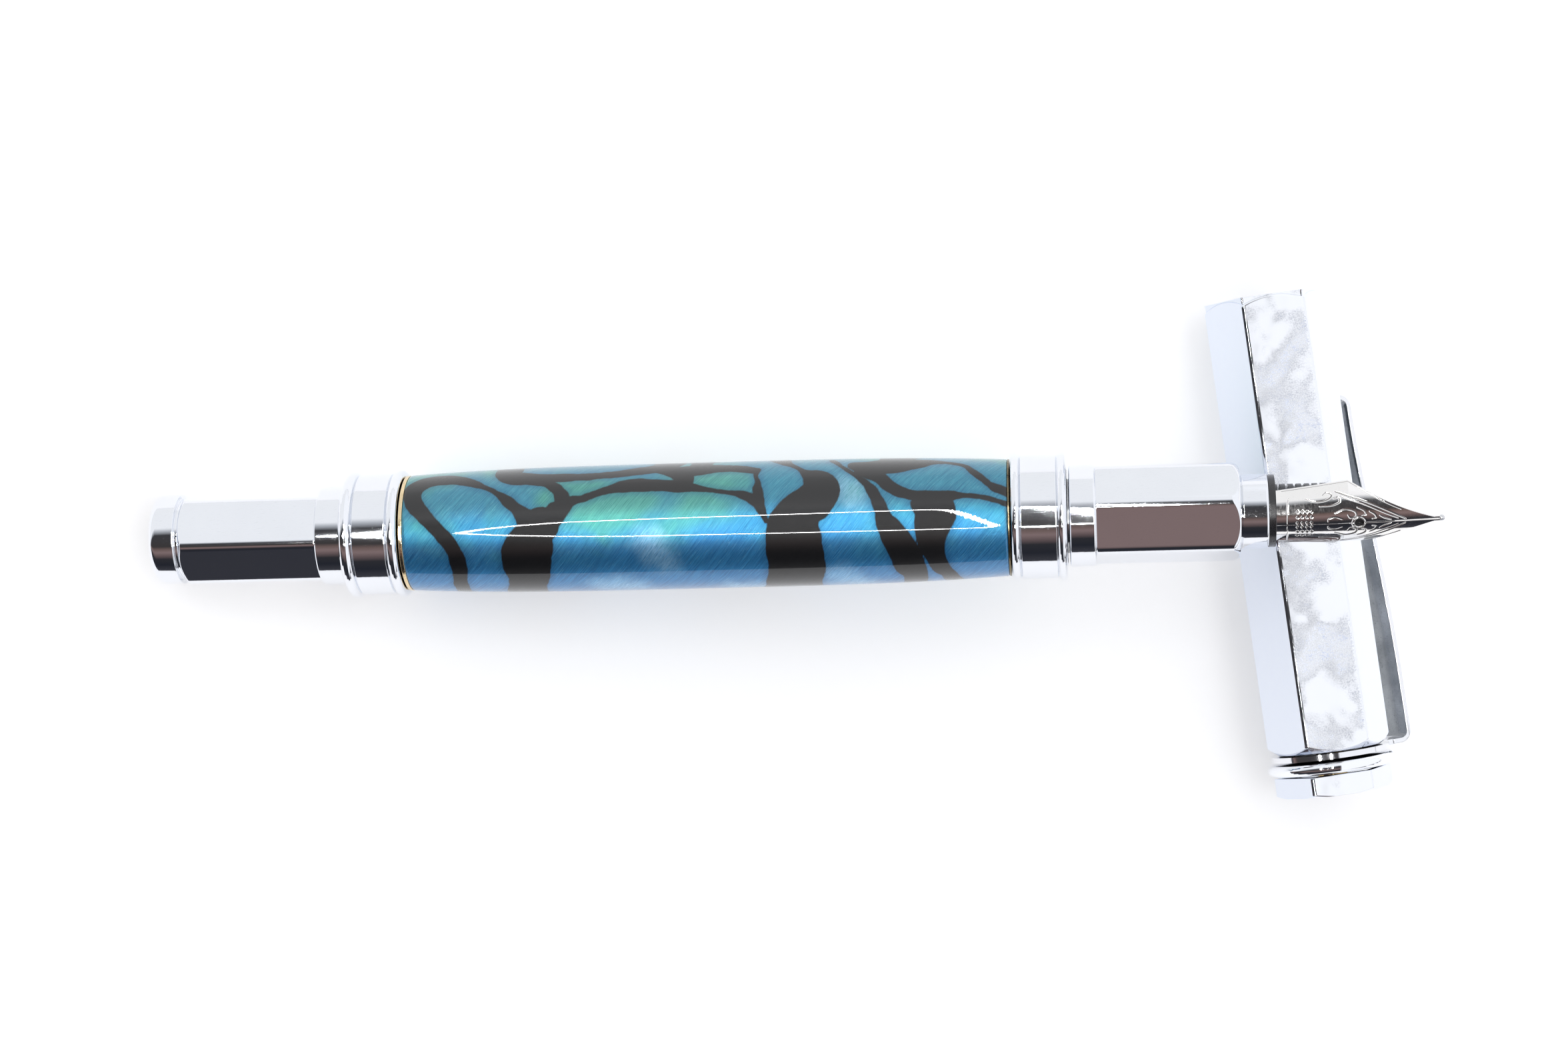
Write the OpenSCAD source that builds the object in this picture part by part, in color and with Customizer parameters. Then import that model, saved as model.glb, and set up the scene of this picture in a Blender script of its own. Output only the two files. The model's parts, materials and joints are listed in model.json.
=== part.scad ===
// Fountain pen with a hexagonal grip, lying with its nose on its own hexagonal cap.
// Millimetres. World frame: +Z up, table at z = 0, pen from -X (rear) to +X (nib), cap along Y.
// Pen pieces are drawn along their own +X axis (a = distance from the rear end) and placed by pen_pose().
// Cap pieces are drawn along their own +X axis (l = distance from the open end) and placed by cap_pose().
// Radii build up from the inside: the converter and the nib set what is round them, wall by wall.

/* [Barrel] */
// Length of the resin barrel
barrel_len = 65.75; // [50:0.25:90]
// Wall of the resin at its ends
resin_wall = 0.84; // [0.6:0.02:1.2]
// How much further the resin stands out at its middle
barrel_rise = 0.57; // [0.3:0.01:1]
// Sharpness of the swell: 2 is a plain arc, higher is flatter in the middle
barrel_swell = 3.5; // [2:0.25:6]
// Wall of the brass tube inside the resin
tube_wall = 0.4; // [0.3:0.05:0.6]

/* [Rear end] */
// Length of the end disc
end_disc_len = 2.85; // [2:0.05:5]
// How far the end disc stands out past the post's flats
end_disc_proud = 0.3; // [0.1:0.02:0.36]
// Rounding of the end disc's outer edge
end_disc_round = 0.9; // [0.3:0.05:1.2]
// Width of the groove between the end disc and the hexagonal post
end_groove_len = 0.4; // [0.2:0.05:0.8]
// Depth of that groove
end_groove_depth = 0.5; // [0.3:0.05:0.8]
// Length of the hexagonal post
post_len = 15.55; // [10:0.05:22]
// How much shorter a side of the post's hexagon is than a side of the grip's
post_less = 0.24; // [0.1:0.02:0.5]
// Angle of the post's top flat about the pen's axis
post_roll = -20; // [-30:1:30]
// Length of the turned step in front of the post
rear_step_len = 2.75; // [1.5:0.05:4]
// How far the turned steps lie inside the corners of the grip
step_inset = 0.12; // [0.05:0.01:0.3]
// Radius of the spigots that join the rear pieces
spigot_r = 3; // [2.4:0.1:3.7]
// Length of the end cap's spigot
end_spigot_len = 2.5; // [1.5:0.1:4]
// Length of the magnet behind it
rear_magnet_len = 1.95; // [1:0.05:3]
// Length of the post's spigot
post_spigot_len = 1.6; // [1:0.1:2.5]

/* [Couplers] */
// How far the round beads stand out past the ends of the resin
bead_proud = 0.66; // [0.4:0.02:1]
// How far the plain bands lie below the beads
band_less = 0.28; // [0.1:0.02:0.5]
// Length of the rear coupler's first bead
rear_bead_len = 1.75; // [1:0.05:2.5]
// Length of the rear coupler's band
rear_band_len = 3.55; // [2:0.05:6]
// Length of the rear coupler's second bead
rear_bead2_len = 1.5; // [1:0.05:2.5]
// Thickness of the brass trim ring behind the resin
rear_trim_len = 0.4; // [0.2:0.05:1]
// Thickness of the dark trim ring in front of the resin
front_trim_len = 0.2; // [0.1:0.05:1]
// Length of each bead of the front coupler
front_bead_len = 1.22; // [1:0.02:2]
// How far the front coupler's first bead lies below the other beads
front_bead_less = 0.1; // [0:0.02:0.2]
// Length of the front coupler's band
front_band_len = 3.86; // [2:0.02:6]
// Length of the couplers' sleeves inside the brass tube
sleeve_len = 8; // [6:0.5:10]
// Wall of the front coupler's sleeve, round the threaded insert
sleeve_wall = 0.25; // [0.2:0.05:0.5]
// Wall of the rear coupler's sleeve
rear_sleeve_wall = 0.68; // [0.4:0.02:1]
// Wall of the threaded insert
insert_wall = 0.4; // [0.3:0.05:0.6]

/* [Grip section] */
// Length of the turned step behind the grip
grip_step_len = 2.85; // [1.5:0.05:4]
// Length of the hexagonal grip
grip_len = 15.4; // [12:0.1:24]
// Wall of the grip between its flats and the tenon
grip_wall = 0.53; // [0.4:0.01:1]
// Corner rounding of the two hexagons on the pen
pen_hex_round = 1.1; // [0.4:0.1:1.4]
// Angle of the grip's top flat about the pen's axis
grip_roll = 16.3; // [-30:0.1:30]
// Length of the nose ring
nose_len = 3.05; // [2:0.05:5]
// Wall of the nose ring
nose_wall = 0.54; // [0.4:0.02:0.8]
// Length of the black magnet ring at the nose
nose_magnet_len = 0.75; // [0.5:0.05:1.5]
// How far the magnet ring lies below the nose ring
nose_magnet_less = 0.08; // [0:0.02:0.2]
// Wall of the threaded tenon
tenon_wall = 0.55; // [0.4:0.05:0.8]
// Length of the tenon inside the grip
tenon_hold = 6; // [4:0.5:8]
// Length of the thread behind the grip
thread_len = 9.5; // [7:0.5:12]
// Radius of the seal ring's own round section
seal_minor = 0.3; // [0.2:0.02:0.4]

/* [Nib and feed] */
// Length of nib that shows in front of the section
nib_out = 17.9; // [14:0.1:24]
// Length of nib held inside the section
nib_in = 10; // [7:0.5:12]
// Radius of the nib's back where it leaves the section
nib_r = 3.2; // [2.6:0.01:3.9]
// How much wider than that radius the nib is at its shoulders, on each side
nib_flare = 0.55; // [0.2:0.01:0.7]
// Distance from the section to the shoulders
nib_shoulder_at = 7.7; // [5:0.1:10]
// Distance from the shoulders to the breather hole
breather_after = 1.1; // [0.5:0.1:2]
// Radius of the breather hole
breather_r = 0.5; // [0.3:0.05:0.8]
// Width of the slit
slit_w = 0.12; // [0.08:0.01:0.2]
// Thickness of the nib's sheet
nib_thick = 0.25; // [0.2:0.01:0.3]
// How far the tip lies below the line of the nib's back
nib_drop = 0.7; // [0:0.05:1.2]
// Radius of the tipping ball
tipping_r = 0.36; // [0.25:0.01:0.5]
// Angle of the nib about the pen's axis
nib_roll = 30.4; // [-40:0.1:40]
// Gap between the nib and the feed
feed_gap = 0.08; // [0.04:0.01:0.15]
// Distance from the nib's tip back to the feed's front end
feed_back = 5.3; // [4:0.1:8]
// Length of the feed's tapered front
feed_taper_len = 6.6; // [4:0.1:8]
// How much the feed's radius falls along that taper
feed_taper = 1.75; // [1:0.05:2.1]
// Number of comb slots that show
comb_slots = 9; // [4:1:11]
// Distance from one comb slot to the next
comb_pitch = 0.86; // [0.6:0.02:1.1]
// Width of a comb slot
comb_slot_w = 0.3; // [0.2:0.02:0.4]
// Depth of a comb slot
comb_slot_depth = 0.75; // [0.4:0.05:1]
// Wall of the collar that holds nib and feed
housing_wall = 0.2; // [0.15:0.01:0.3]

/* [Ink converter] */
// Outside radius of the clear tube
conv_r = 3.6; // [3:0.05:4.4]
// Wall of the clear tube
conv_wall = 0.6; // [0.4:0.05:0.8]
// Gap round the clear tube, inside the threaded tenon
conv_gap = 0.2; // [0.1:0.02:0.4]
// Wall of the metal collar round the clear tube
conv_collar_wall = 0.18; // [0.12:0.02:0.3]
// Length of the metal collar behind the clear tube
conv_collar_len = 12; // [8:0.5:15]
// Length of the twist knob
conv_knob_len = 12; // [8:0.5:15]
// How far the knob's ribs lie below the clear tube's outside
conv_knob_less = 0.1; // [0:0.05:0.4]
// Number of ribs on the knob
knob_ribs = 18; // [8:1:24]
// Room behind the knob when the converter is off its nipple
conv_spare = 6.55; // [1:0.05:12]
// Length of the piston's seal
piston_len = 4; // [2.5:0.5:6]
// Length of the clear tube that the piston never uses
piston_dead = 14; // [11:0.5:18]
// Radius of the piston's rod
piston_rod_r = 1.2; // [0.8:0.1:1.5]
// Wall of the nut round the piston's rod
rod_nut_wall = 0.7; // [0.4:0.05:1]
// How far the converter is pushed on the ink nipple
conv_pull = 5; // [3:0.5:6]
// Outside radius of the ink nipple
nipple_r = 1.2; // [1:0.05:1.5]
// Radius of the agitator ball
ball_r = 0.55; // [0.4:0.05:0.7]

/* [Cap] */
// Wall of the cap over its hexagonal socket
cap_wall = 0.9; // [0.6:0.02:1.5]
// Length of the cap's solid end, behind the nib chamber
cap_end_len = 8.2; // [6:0.1:14]
// Rounding of the cap's long edges
cap_round = 0.5; // [0.2:0.05:0.8]
// Gap between the grip's flats and the cap's socket
socket_gap = 0.15; // [0.1:0.01:0.3]
// Gap in front of the nose when the cap is on
nose_gap = 0.2; // [0.1:0.05:0.5]
// Gap round the nose in the nib chamber
chamber_gap = 0.32; // [0.2:0.02:0.4]
// Room in front of the nib's tip when the cap is on
chamber_room = 5.1; // [2:0.1:8]
// Wall of the inner cap and of the magnet ring
inner_wall = 0.7; // [0.5:0.05:0.85]
// Length of the cap's magnet ring
cap_magnet_len = 2; // [1:0.25:3]
// Thickness of the clip's mounting ring
clip_ring_len = 0.6; // [0.4:0.05:1]
// How far the clip's mounting ring stands out past the cap's flats
clip_ring_proud = 0.6; // [0.2:0.05:0.9]
// How far the round flange stands out past the cap's flats
flange_proud = 1.1; // [0.9:0.02:1.4]
// Length of the round flange
flange_len = 1.75; // [1.2:0.05:3]
// Length of the hexagonal finial
finial_len = 2.3; // [1.6:0.1:5]
// How much shorter a side of the finial's hexagon is than a side of the cap's
finial_less = 0.27; // [0.1:0.01:0.6]
// Radius of the stud that holds the cap's end together
stud_r = 1.6; // [1.2:0.1:2]
// Length of the nut on that stud
end_nut_len = 3; // [2:0.25:4]

/* [Clip] */
// Distance from the cap's open end to the clip's free end
clip_end_at = 12.05; // [8:0.05:20]
// Width of the clip
clip_w = 3.5; // [2.5:0.1:4.2]
// Thickness of the clip's sheet
clip_thick = 0.6; // [0.4:0.05:0.8]
// Height of the clip's outer surface over the cap's flat, at its bend
clip_rise = 4.6; // [3.8:0.05:5.6]
// Height of the clip's outer surface over the cap's flat, near its free end
clip_end_rise = 2.75; // [2.25:0.05:3.4]
// Radius of the clip's bend
clip_bend_r = 1.1; // [0.8:0.05:1.4]
// Radius of the rolled free end
clip_roll_r = 1.2; // [0.8:0.05:1.5]
// Gap between the rolled end and the cap
clip_touch_gap = 0.15; // [0.1:0.05:0.3]

/* [Fits] */
// Radial gap of pieces pressed or glued into each other
press_gap = 0.02; // [0.01:0.01:0.04]
// Radial gap of pieces that turn or slide in each other
run_gap = 0.06; // [0.03:0.01:0.1]
// Gap between pieces that stop on each other
stop_gap = 0.05; // [0.02:0.01:0.1]

/* [Resting pose] */
// Angle between the pen and a square crossing of the cap
pen_yaw = -6.57; // [-20:0.1:20]
// Distance from the cap's open end to where the pen crosses its top edge
cross_at = 23.43; // [10:0.1:40]
// Distance from the magnet ring's front face back to the point that rests on the cap
rest_back = 0.05; // [0:0.05:0.5]
// Gap between the nose and the cap's edge
rest_gap = 0.03; // [0.02:0.01:0.1]

/* [Hidden] */
$fn = 96;

// How far solids of one piece run into each other, and how far cutters run past a face.
lap = 0.3;
past = 1;
// Width of the small cut on turned edges.
edge_cut = 0.15;

// Radii of the front end, from the nib outwards.
feed_r = nib_r - nib_thick - feed_gap;
housing_in_r = nib_r + 2 * press_gap;
housing_r = housing_in_r + housing_wall;
grip_bore_r = housing_r + press_gap;
nose_r = grip_bore_r + nose_wall;
nose_magnet_r = nose_r - nose_magnet_less;
nib_shoulder_w = nib_r + nib_flare;
// The nib opens out to a little over its half width at the shoulder.
shoulder_opening = 0.12;
nib_shoulder_r = nib_shoulder_w + shoulder_opening;

// Radii of the barrel, from the converter outwards.
conv_in_r = conv_r - conv_wall;
conv_collar_r = conv_r + press_gap + conv_collar_wall;
conv_knob_r = conv_r - conv_knob_less;
nut_r = piston_rod_r + rod_nut_wall;
piston_r = conv_in_r - run_gap / 2;
tenon_in_r = conv_r + conv_gap;
tenon_r = tenon_in_r + tenon_wall;
insert_r = tenon_r + run_gap;
insert_out_r = insert_r + insert_wall;
sleeve_r = insert_out_r + press_gap + sleeve_wall;
bore_r = sleeve_r - rear_sleeve_wall;
tube_in_r = sleeve_r + press_gap;
tube_r = tube_in_r + tube_wall;
barrel_end_r = tube_r + press_gap + resin_wall;
bead_r = barrel_end_r + bead_proud;
band_r = bead_r - band_less;
seal_major = tenon_r + run_gap + seal_minor;

// The two hexagons on the pen, and the turned steps and end disc beside them.
grip_flat_r = max(tenon_r, grip_bore_r) + press_gap + grip_wall;
grip_side = grip_flat_r / cos(30);
post_side = grip_side - post_less;
post_flat_r = post_side * cos(30);
step_r = grip_side - step_inset;
end_disc_r = post_flat_r + end_disc_proud;

// Stations along the pen, from the rear end (a = 0) to the nib's tip.
a_groove = end_disc_len;
a_post = a_groove + end_groove_len;
a_rear_step = a_post + post_len;
a_rear_bead = a_rear_step + rear_step_len;
a_rear_band = a_rear_bead + rear_bead_len;
a_rear_bead2 = a_rear_band + rear_band_len;
a_rear_trim = a_rear_bead2 + rear_bead2_len;
a_barrel = a_rear_trim + rear_trim_len;
a_front_trim = a_barrel + barrel_len;
a_front_bead = a_front_trim + front_trim_len;
a_front_band = a_front_bead + front_bead_len;
a_front_bead2 = a_front_band + front_band_len;
a_mouth = a_front_bead2 + front_bead_len;
a_grip_step = a_mouth + stop_gap;
a_grip = a_grip_step + grip_step_len;
a_nose = a_grip + grip_len;
a_nose_magnet = a_nose + nose_len;
a_front = a_nose_magnet + nose_magnet_len;
a_tip = a_front + nib_out;

// Inside the section: the tenon, and the housing with its nipple.
a_tenon = a_grip_step - thread_len;
a_tenon_end = a_grip_step + tenon_hold;
nipple_sunk = 1;
a_nipple = a_tenon + nipple_sunk;
feed_in = nib_in + 1;
a_housing_bore = a_front - feed_in - stop_gap;
housing_back = 1;
a_housing = a_housing_bore - housing_back;
seal_back = 0.25;
a_seal = a_mouth - seal_back - seal_minor;

// Inside the barrel: the converter's mouth sits over the nipple, and its knob points to the rear.
cavity_floor = 0.45;
spigot_room = 0.1;
a_cavity = a_rear_step + post_spigot_len + spigot_room + cavity_floor;
mouth_plug = 2;
a_conv_front = a_nipple + conv_pull;
a_conv_tube_front = a_conv_front - conv_pull;
a_plug = a_conv_tube_front - mouth_plug;
a_conv_knob = a_cavity + conv_spare + conv_pull;
a_conv_collar = a_conv_knob + conv_knob_len + stop_gap;
a_conv_tube = a_conv_collar + conv_collar_len - mouth_plug;
conv_tube_len = a_conv_tube_front - a_conv_tube;
piston_travel = conv_tube_len - piston_len - piston_dead;
a_piston_front = a_plug - 2 * ball_r - 2 * stop_gap;
a_piston = a_piston_front - piston_len;
knob_end_wall = 1;
rod_room = 0.3;
a_rod = a_conv_knob + knob_end_wall + rod_room + piston_travel;
rod_hold = 2.75;
a_nut_end = a_rod + rod_hold;
nut_in_knob = 4;

// Cap: flats and stations from the open end. The socket takes the grip, the chamber takes the nib.
chamber_r = nose_magnet_r + chamber_gap;
inner_r = chamber_r + inner_wall;
socket_flat_r = grip_flat_r + socket_gap;
face_h = max(socket_flat_r, inner_r + press_gap) + cap_wall;
cap_side = face_h / cos(30);
socket_len = grip_len + nose_len + nose_magnet_len + nose_gap;
chamber_end = socket_len + nib_out + chamber_room;
cap_len = chamber_end + cap_end_len;
clip_ring_r = face_h + clip_ring_proud;
flange_r = face_h + flange_proud;
finial_side = cap_side - finial_less;
end_nut_r = 2 * stud_r;
cup_end = 1;
l_cup_end = chamber_end + cup_end;
l_stud = l_cup_end + end_nut_len;
l_ring = cap_len + stop_gap;
l_flange = l_ring + clip_ring_len + stop_gap;
l_finial = l_flange + flange_len;
cap_total = l_finial + finial_len;
stud_in_finial = 1.1;
clip_face = -30;

// The cap rests on the lower edge of its open end and on its round flange.
flange_mid = l_flange + flange_len / 2;
cap_pitch = atan((flange_r - face_h) / flange_mid);
cap_z = face_h * cos(cap_pitch);
cap_y = cap_total * cos(cap_pitch) / 2;
edge_x = cap_side / 2;
edge_z = cap_z + cross_at * sin(cap_pitch) + face_h * cos(cap_pitch);

// The pen rests on the cap's upper edge, and on its rear bead or its end disc, whichever is lower.
// Each is a rounded rim: [station of the rounding, radius to its centre, radius of the rounding].
disc_face_r = end_disc_r - end_disc_round;
bead_full = 0.8;
rear_bead_round = bead_full * rear_bead_len / 2;
rims = [[a_rear_bead + rear_bead_len / 2, bead_r - rear_bead_round, rear_bead_round],
        [end_disc_round, disc_face_r, end_disc_round]];
a_rest = a_front - rest_back;
pen_tilt = min([for (rim = rims)
    let (run = a_rest - rim[0], rise = rim[1] - nose_magnet_r)
    asin((edge_z + rest_gap - rim[2]) / norm([run, rise])) - atan(rise / run)]);
pen_dir = [cos(pen_tilt) * cos(pen_yaw), cos(pen_tilt) * sin(pen_yaw), sin(pen_tilt)];
pen_up = [-sin(pen_tilt) * cos(pen_yaw), -sin(pen_tilt) * sin(pen_yaw), cos(pen_tilt)];
pen_side = [-sin(pen_yaw), cos(pen_yaw), 0];
tip_h = nib_r - nib_drop;
ball_h = tip_h - nib_thick / 2;
a_ball = a_tip - tipping_r;

// The frame's origin is under the middle of the whole object.
rear_reach = disc_face_r * sqrt(1 - pow(pen_dir[0], 2)) + end_disc_round * (1 - pen_dir[0]);
ball_up = cos(nib_roll) * pen_up - sin(nib_roll) * pen_side;
tip_reach = a_ball * pen_dir[0] + ball_h * ball_up[0] + tipping_r;
pen_x = (rear_reach - tip_reach) / 2;
rest_from_rear = a_rest * pen_dir - (nose_magnet_r + rest_gap) * pen_up;
cap_x = pen_x + rest_from_rear[0] + edge_x;
rest_y = cap_y - cross_at * cos(cap_pitch);
pen_y = rest_y - rest_from_rear[1];
pen_z = edge_z - rest_from_rear[2];

// Points of an arc round c, from angle p to angle q.
function arc(c, r, p, q, n = 6) =
    [for (i = [0:n]) [c[0] + r * cos(p + (q - p) * i / n), c[1] + r * sin(p + (q - p) * i / n)]];

// Outline of a hexagon with rounded corners and a flat facing +X.
function hexagon(side, round, n = 4) =
    let (c = side - round / cos(30))
    [for (k = [0:5], i = [0:n])
        let (corner = 30 + 60 * k, turn = corner - 30 + 60 * i / n)
        [c * cos(corner) + round * cos(turn), c * sin(corner) + round * sin(turn)]];

// Radius of the resin barrel at the fraction u of its length.
function barrel_radius(u) =
    barrel_end_r + barrel_rise * (1 - pow(abs(2 * u - 1), barrel_swell));

// Nib: height of its back, radius of its curve and half width, at the distance d in front of the section.
function nib_height(d) =
    nib_r - nib_drop * pow(max(0, (d - 3) / (nib_out - 3)), 1.5);
function nib_curve(d) =
    nib_r + (nib_shoulder_r - nib_r) * min(1, max(0, d / nib_shoulder_at));
nib_half_wrap = 73;
nib_least_half = 0.3;
function nib_half_width(d) =
    let (base = nib_r * sin(nib_half_wrap),
         t = (d - nib_shoulder_at) / (nib_out - nib_shoulder_at))
    d <= 0 ? base :
    t <= 0 ? base + (nib_shoulder_w - base) * d / nib_shoulder_at :
    max(nib_least_half, nib_shoulder_w * (pow(1 - t, 1.15) + 0.5 * t * pow(1 - t, 4)));
function nib_point(d, q, inset) =
    let (r = nib_curve(d), phi = asin(min(0.999, nib_half_width(d) / r)) * q)
    [a_front + d, -(r - inset) * sin(phi), nib_height(d) - r + (r - inset) * cos(phi)];

// Height of the clip's middle line over the cap's axis, at the fraction u from its bend to its free end.
function clip_height(u) =
    face_h + clip_end_rise - clip_thick / 2
    + (clip_rise - clip_end_rise) * (0.5 + 0.5 * cos(180 * pow(u, 1.3)));

module pen_pose()
    translate([pen_x, pen_y, pen_z]) rotate([0, 0, pen_yaw]) rotate([0, -pen_tilt, 0]) children();
module cap_pose()
    translate([cap_x, cap_y, cap_z]) rotate([0, 0, -90]) rotate([0, -cap_pitch, 0]) children();

// A turned solid along +X; points are [radius, distance].
module turned(points) rotate([0, 90, 0]) rotate_extrude() polygon(points);
// A straight rod or bore along +X from p to q.
module rod(p, q, r) translate([p, 0, 0]) rotate([0, 90, 0]) cylinder(h = q - p, r = r);
// A tube along +X from p to q.
module tube(p, q, r_out, r_in) difference() {
    rod(p, q, r_out);
    rod(p - 1, q + 1, r_in);
}
// A hexagonal bar along +X from p to q, one flat facing up before it is rolled.
module hex_bar(p, q, side, round, roll = 0)
    rotate([roll, 0, 0]) translate([p, 0, 0]) rotate([0, 90, 0])
    linear_extrude(height = q - p) polygon(hexagon(side, round));
// A turned bead with a rounded rim, from p to q.
module bead(p, q, r) {
    mid = (q - p) / 2;
    bulge = mid * bead_full;
    turned(concat([[0, p]], arc([r - bulge, p + mid], bulge, -80, 80, 8), [[0, q]]));
}
// A turned step from p to q with both edges cut.
module step(p, q, r)
    turned([[0, p], [r - edge_cut, p], [r, p + edge_cut], [r, q - edge_cut], [r - edge_cut, q], [0, q]]);

// ---------- pen: rear end ----------
module rear_end_cap() color("gainsboro") pen_pose() difference() {
    union() {
        turned(concat([[0, 0]],
                      arc([disc_face_r, end_disc_round], end_disc_round, -90, 0),
                      [[end_disc_r, a_groove], [0, a_groove]]));
        rod(a_groove - lap, a_post, end_disc_r - end_groove_depth);
        rod(a_post - lap, a_post + end_spigot_len, spigot_r);
    }
    rod(a_post + end_spigot_len / 2, a_post + end_spigot_len + past, spigot_r - 1);
}
module rear_magnet() color("dimgray") pen_pose()
    rod(a_post + end_spigot_len + stop_gap, a_post + end_spigot_len + stop_gap + rear_magnet_len,
        spigot_r - stop_gap);
module rear_post() color("silver") pen_pose() difference() {
    turn_depth = 1.1;
    turn_inset = 0.1;
    blank_r = post_side + 0.6;
    front_cut = 0.4;
    union() {
        intersection() {
            hex_bar(a_post, a_rear_step, post_side, pen_hex_round, post_roll);
            turned([[0, a_post], [post_flat_r - turn_inset, a_post], [blank_r, a_post + turn_depth],
                    [blank_r, a_rear_step - front_cut], [post_side - edge_cut, a_rear_step],
                    [0, a_rear_step]]);
        }
        rod(a_rear_step - lap, a_rear_step + post_spigot_len, spigot_r);
    }
    rod(a_post - past, a_post + end_spigot_len + rear_magnet_len + 2 * stop_gap + spigot_room,
        spigot_r + press_gap);
}
module rear_coupler() color("silver") pen_pose() difference() {
    union() {
        step(a_rear_step, a_rear_bead + lap, step_r);
        bead(a_rear_bead, a_rear_band, bead_r);
        rod(a_rear_band - lap, a_rear_bead2 + lap, band_r);
        bead(a_rear_bead2, a_rear_trim, bead_r);
        rod(a_rear_trim - lap, a_rear_trim + sleeve_len, sleeve_r);
    }
    rod(a_rear_step - past, a_rear_step + post_spigot_len + spigot_room, spigot_r + press_gap);
    rod(a_cavity, a_rear_trim + sleeve_len + past, bore_r);
}
module rear_trim_ring() color("gold") pen_pose()
    tube(a_rear_trim, a_barrel, barrel_end_r, sleeve_r + press_gap);

// ---------- pen: barrel ----------
module barrel_tube() color("goldenrod") pen_pose() tube(a_barrel, a_front_trim, tube_r, tube_in_r);
barrel_steps = 24;
module resin_barrel() color("teal") pen_pose()
    turned(concat([[tube_r + press_gap, a_barrel]],
                  [for (i = [0:barrel_steps])
                   let (u = i / barrel_steps) [barrel_radius(u), a_barrel + barrel_len * u]],
                  [[tube_r + press_gap, a_front_trim]]));
module front_trim_ring() color("black") pen_pose()
    tube(a_front_trim, a_front_bead, barrel_end_r, sleeve_r + press_gap);
module front_coupler() color("silver") pen_pose() difference() {
    union() {
        rod(a_front_bead - sleeve_len, a_front_bead + lap, sleeve_r);
        bead(a_front_bead, a_front_band, bead_r - front_bead_less);
        rod(a_front_band - lap, a_front_bead2 + lap, band_r);
        bead(a_front_bead2, a_mouth, bead_r);
    }
    rod(a_front_bead - sleeve_len - past, a_mouth + past, insert_out_r + press_gap);
    rod(a_seal - seal_minor - stop_gap, a_mouth + past, seal_major + seal_minor + run_gap);
}
module threaded_insert() color("goldenrod") pen_pose()
    tube(a_front_bead - sleeve_len + lap, a_seal - seal_minor - 2 * stop_gap, insert_out_r, insert_r);
module section_seal() color("black") pen_pose() translate([a_seal, 0, 0])
    rotate([0, 90, 0]) rotate_extrude() translate([seal_major, 0]) circle(r = seal_minor, $fn = 32);

// ---------- pen: grip section ----------
module grip_section() color("silver") pen_pose() difference() {
    shoulder = 2.4;
    shoulder_at = [grip_side + 0.2 - shoulder, a_nose - 1.9];
    shoulder_sweep = 62;
    union() {
        step(a_grip_step, a_grip, step_r);
        intersection() {
            hex_bar(a_grip - lap, a_nose, grip_side, pen_hex_round, grip_roll);
            turned(concat([[0, a_grip - lap], [grip_side, a_grip - lap]],
                          arc(shoulder_at, shoulder, 0, shoulder_sweep),
                          [[nose_r - lap, a_nose], [0, a_nose]]));
        }
        rod(a_nose - lap, a_nose_magnet, nose_r - edge_cut);
        step(a_nose + edge_cut, a_nose_magnet, nose_r);
    }
    rod(a_grip_step - past, a_nose_magnet + past, grip_bore_r);
    rod(a_grip_step - past, a_tenon_end, tenon_r + press_gap);
}
module section_tenon() color("darkgoldenrod") pen_pose()
    tube(a_tenon, a_tenon_end - stop_gap, tenon_r, tenon_in_r);
module nose_magnet_ring() color("black") pen_pose()
    tube(a_nose_magnet, a_front, nose_magnet_r, housing_in_r);
module nib_housing() color("dimgray") pen_pose() difference() {
    union() {
        rod(a_housing, a_nose_magnet - stop_gap, housing_r);
        rod(a_nipple, a_housing + lap, nipple_r);
    }
    rod(a_housing_bore, a_front, housing_in_r);
    rod(a_nipple - past, a_housing_bore + past, nipple_r / 2);
}
module feed() color("black") pen_pose() difference() {
    feed_steps = 6;
    a_taper = a_tip - feed_back - feed_taper_len;
    union() {
        rod(a_front - feed_in, a_taper, feed_r);
        turned(concat([[0, a_taper - lap]],
                      [for (i = [0:feed_steps]) let (u = i / feed_steps)
                       [feed_r - feed_taper * pow(u, 1.6), a_taper + feed_taper_len * u]],
                      [[0, a_taper + feed_taper_len]]));
    }
    for (i = [0:comb_slots - 1]) let (a_slot = a_front + comb_slot_w + comb_pitch * i)
        tube(a_slot, a_slot + comb_slot_w, feed_r + past, feed_r - comb_slot_depth);
    channel_w = 0.4;
    channel_depth = 1.1;
    rotate([nib_roll, 0, 0]) translate([a_front - feed_in - past, -channel_w / 2, feed_r - channel_depth])
        cube([feed_in + nib_out, channel_w, channel_depth + past]);
}

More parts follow.
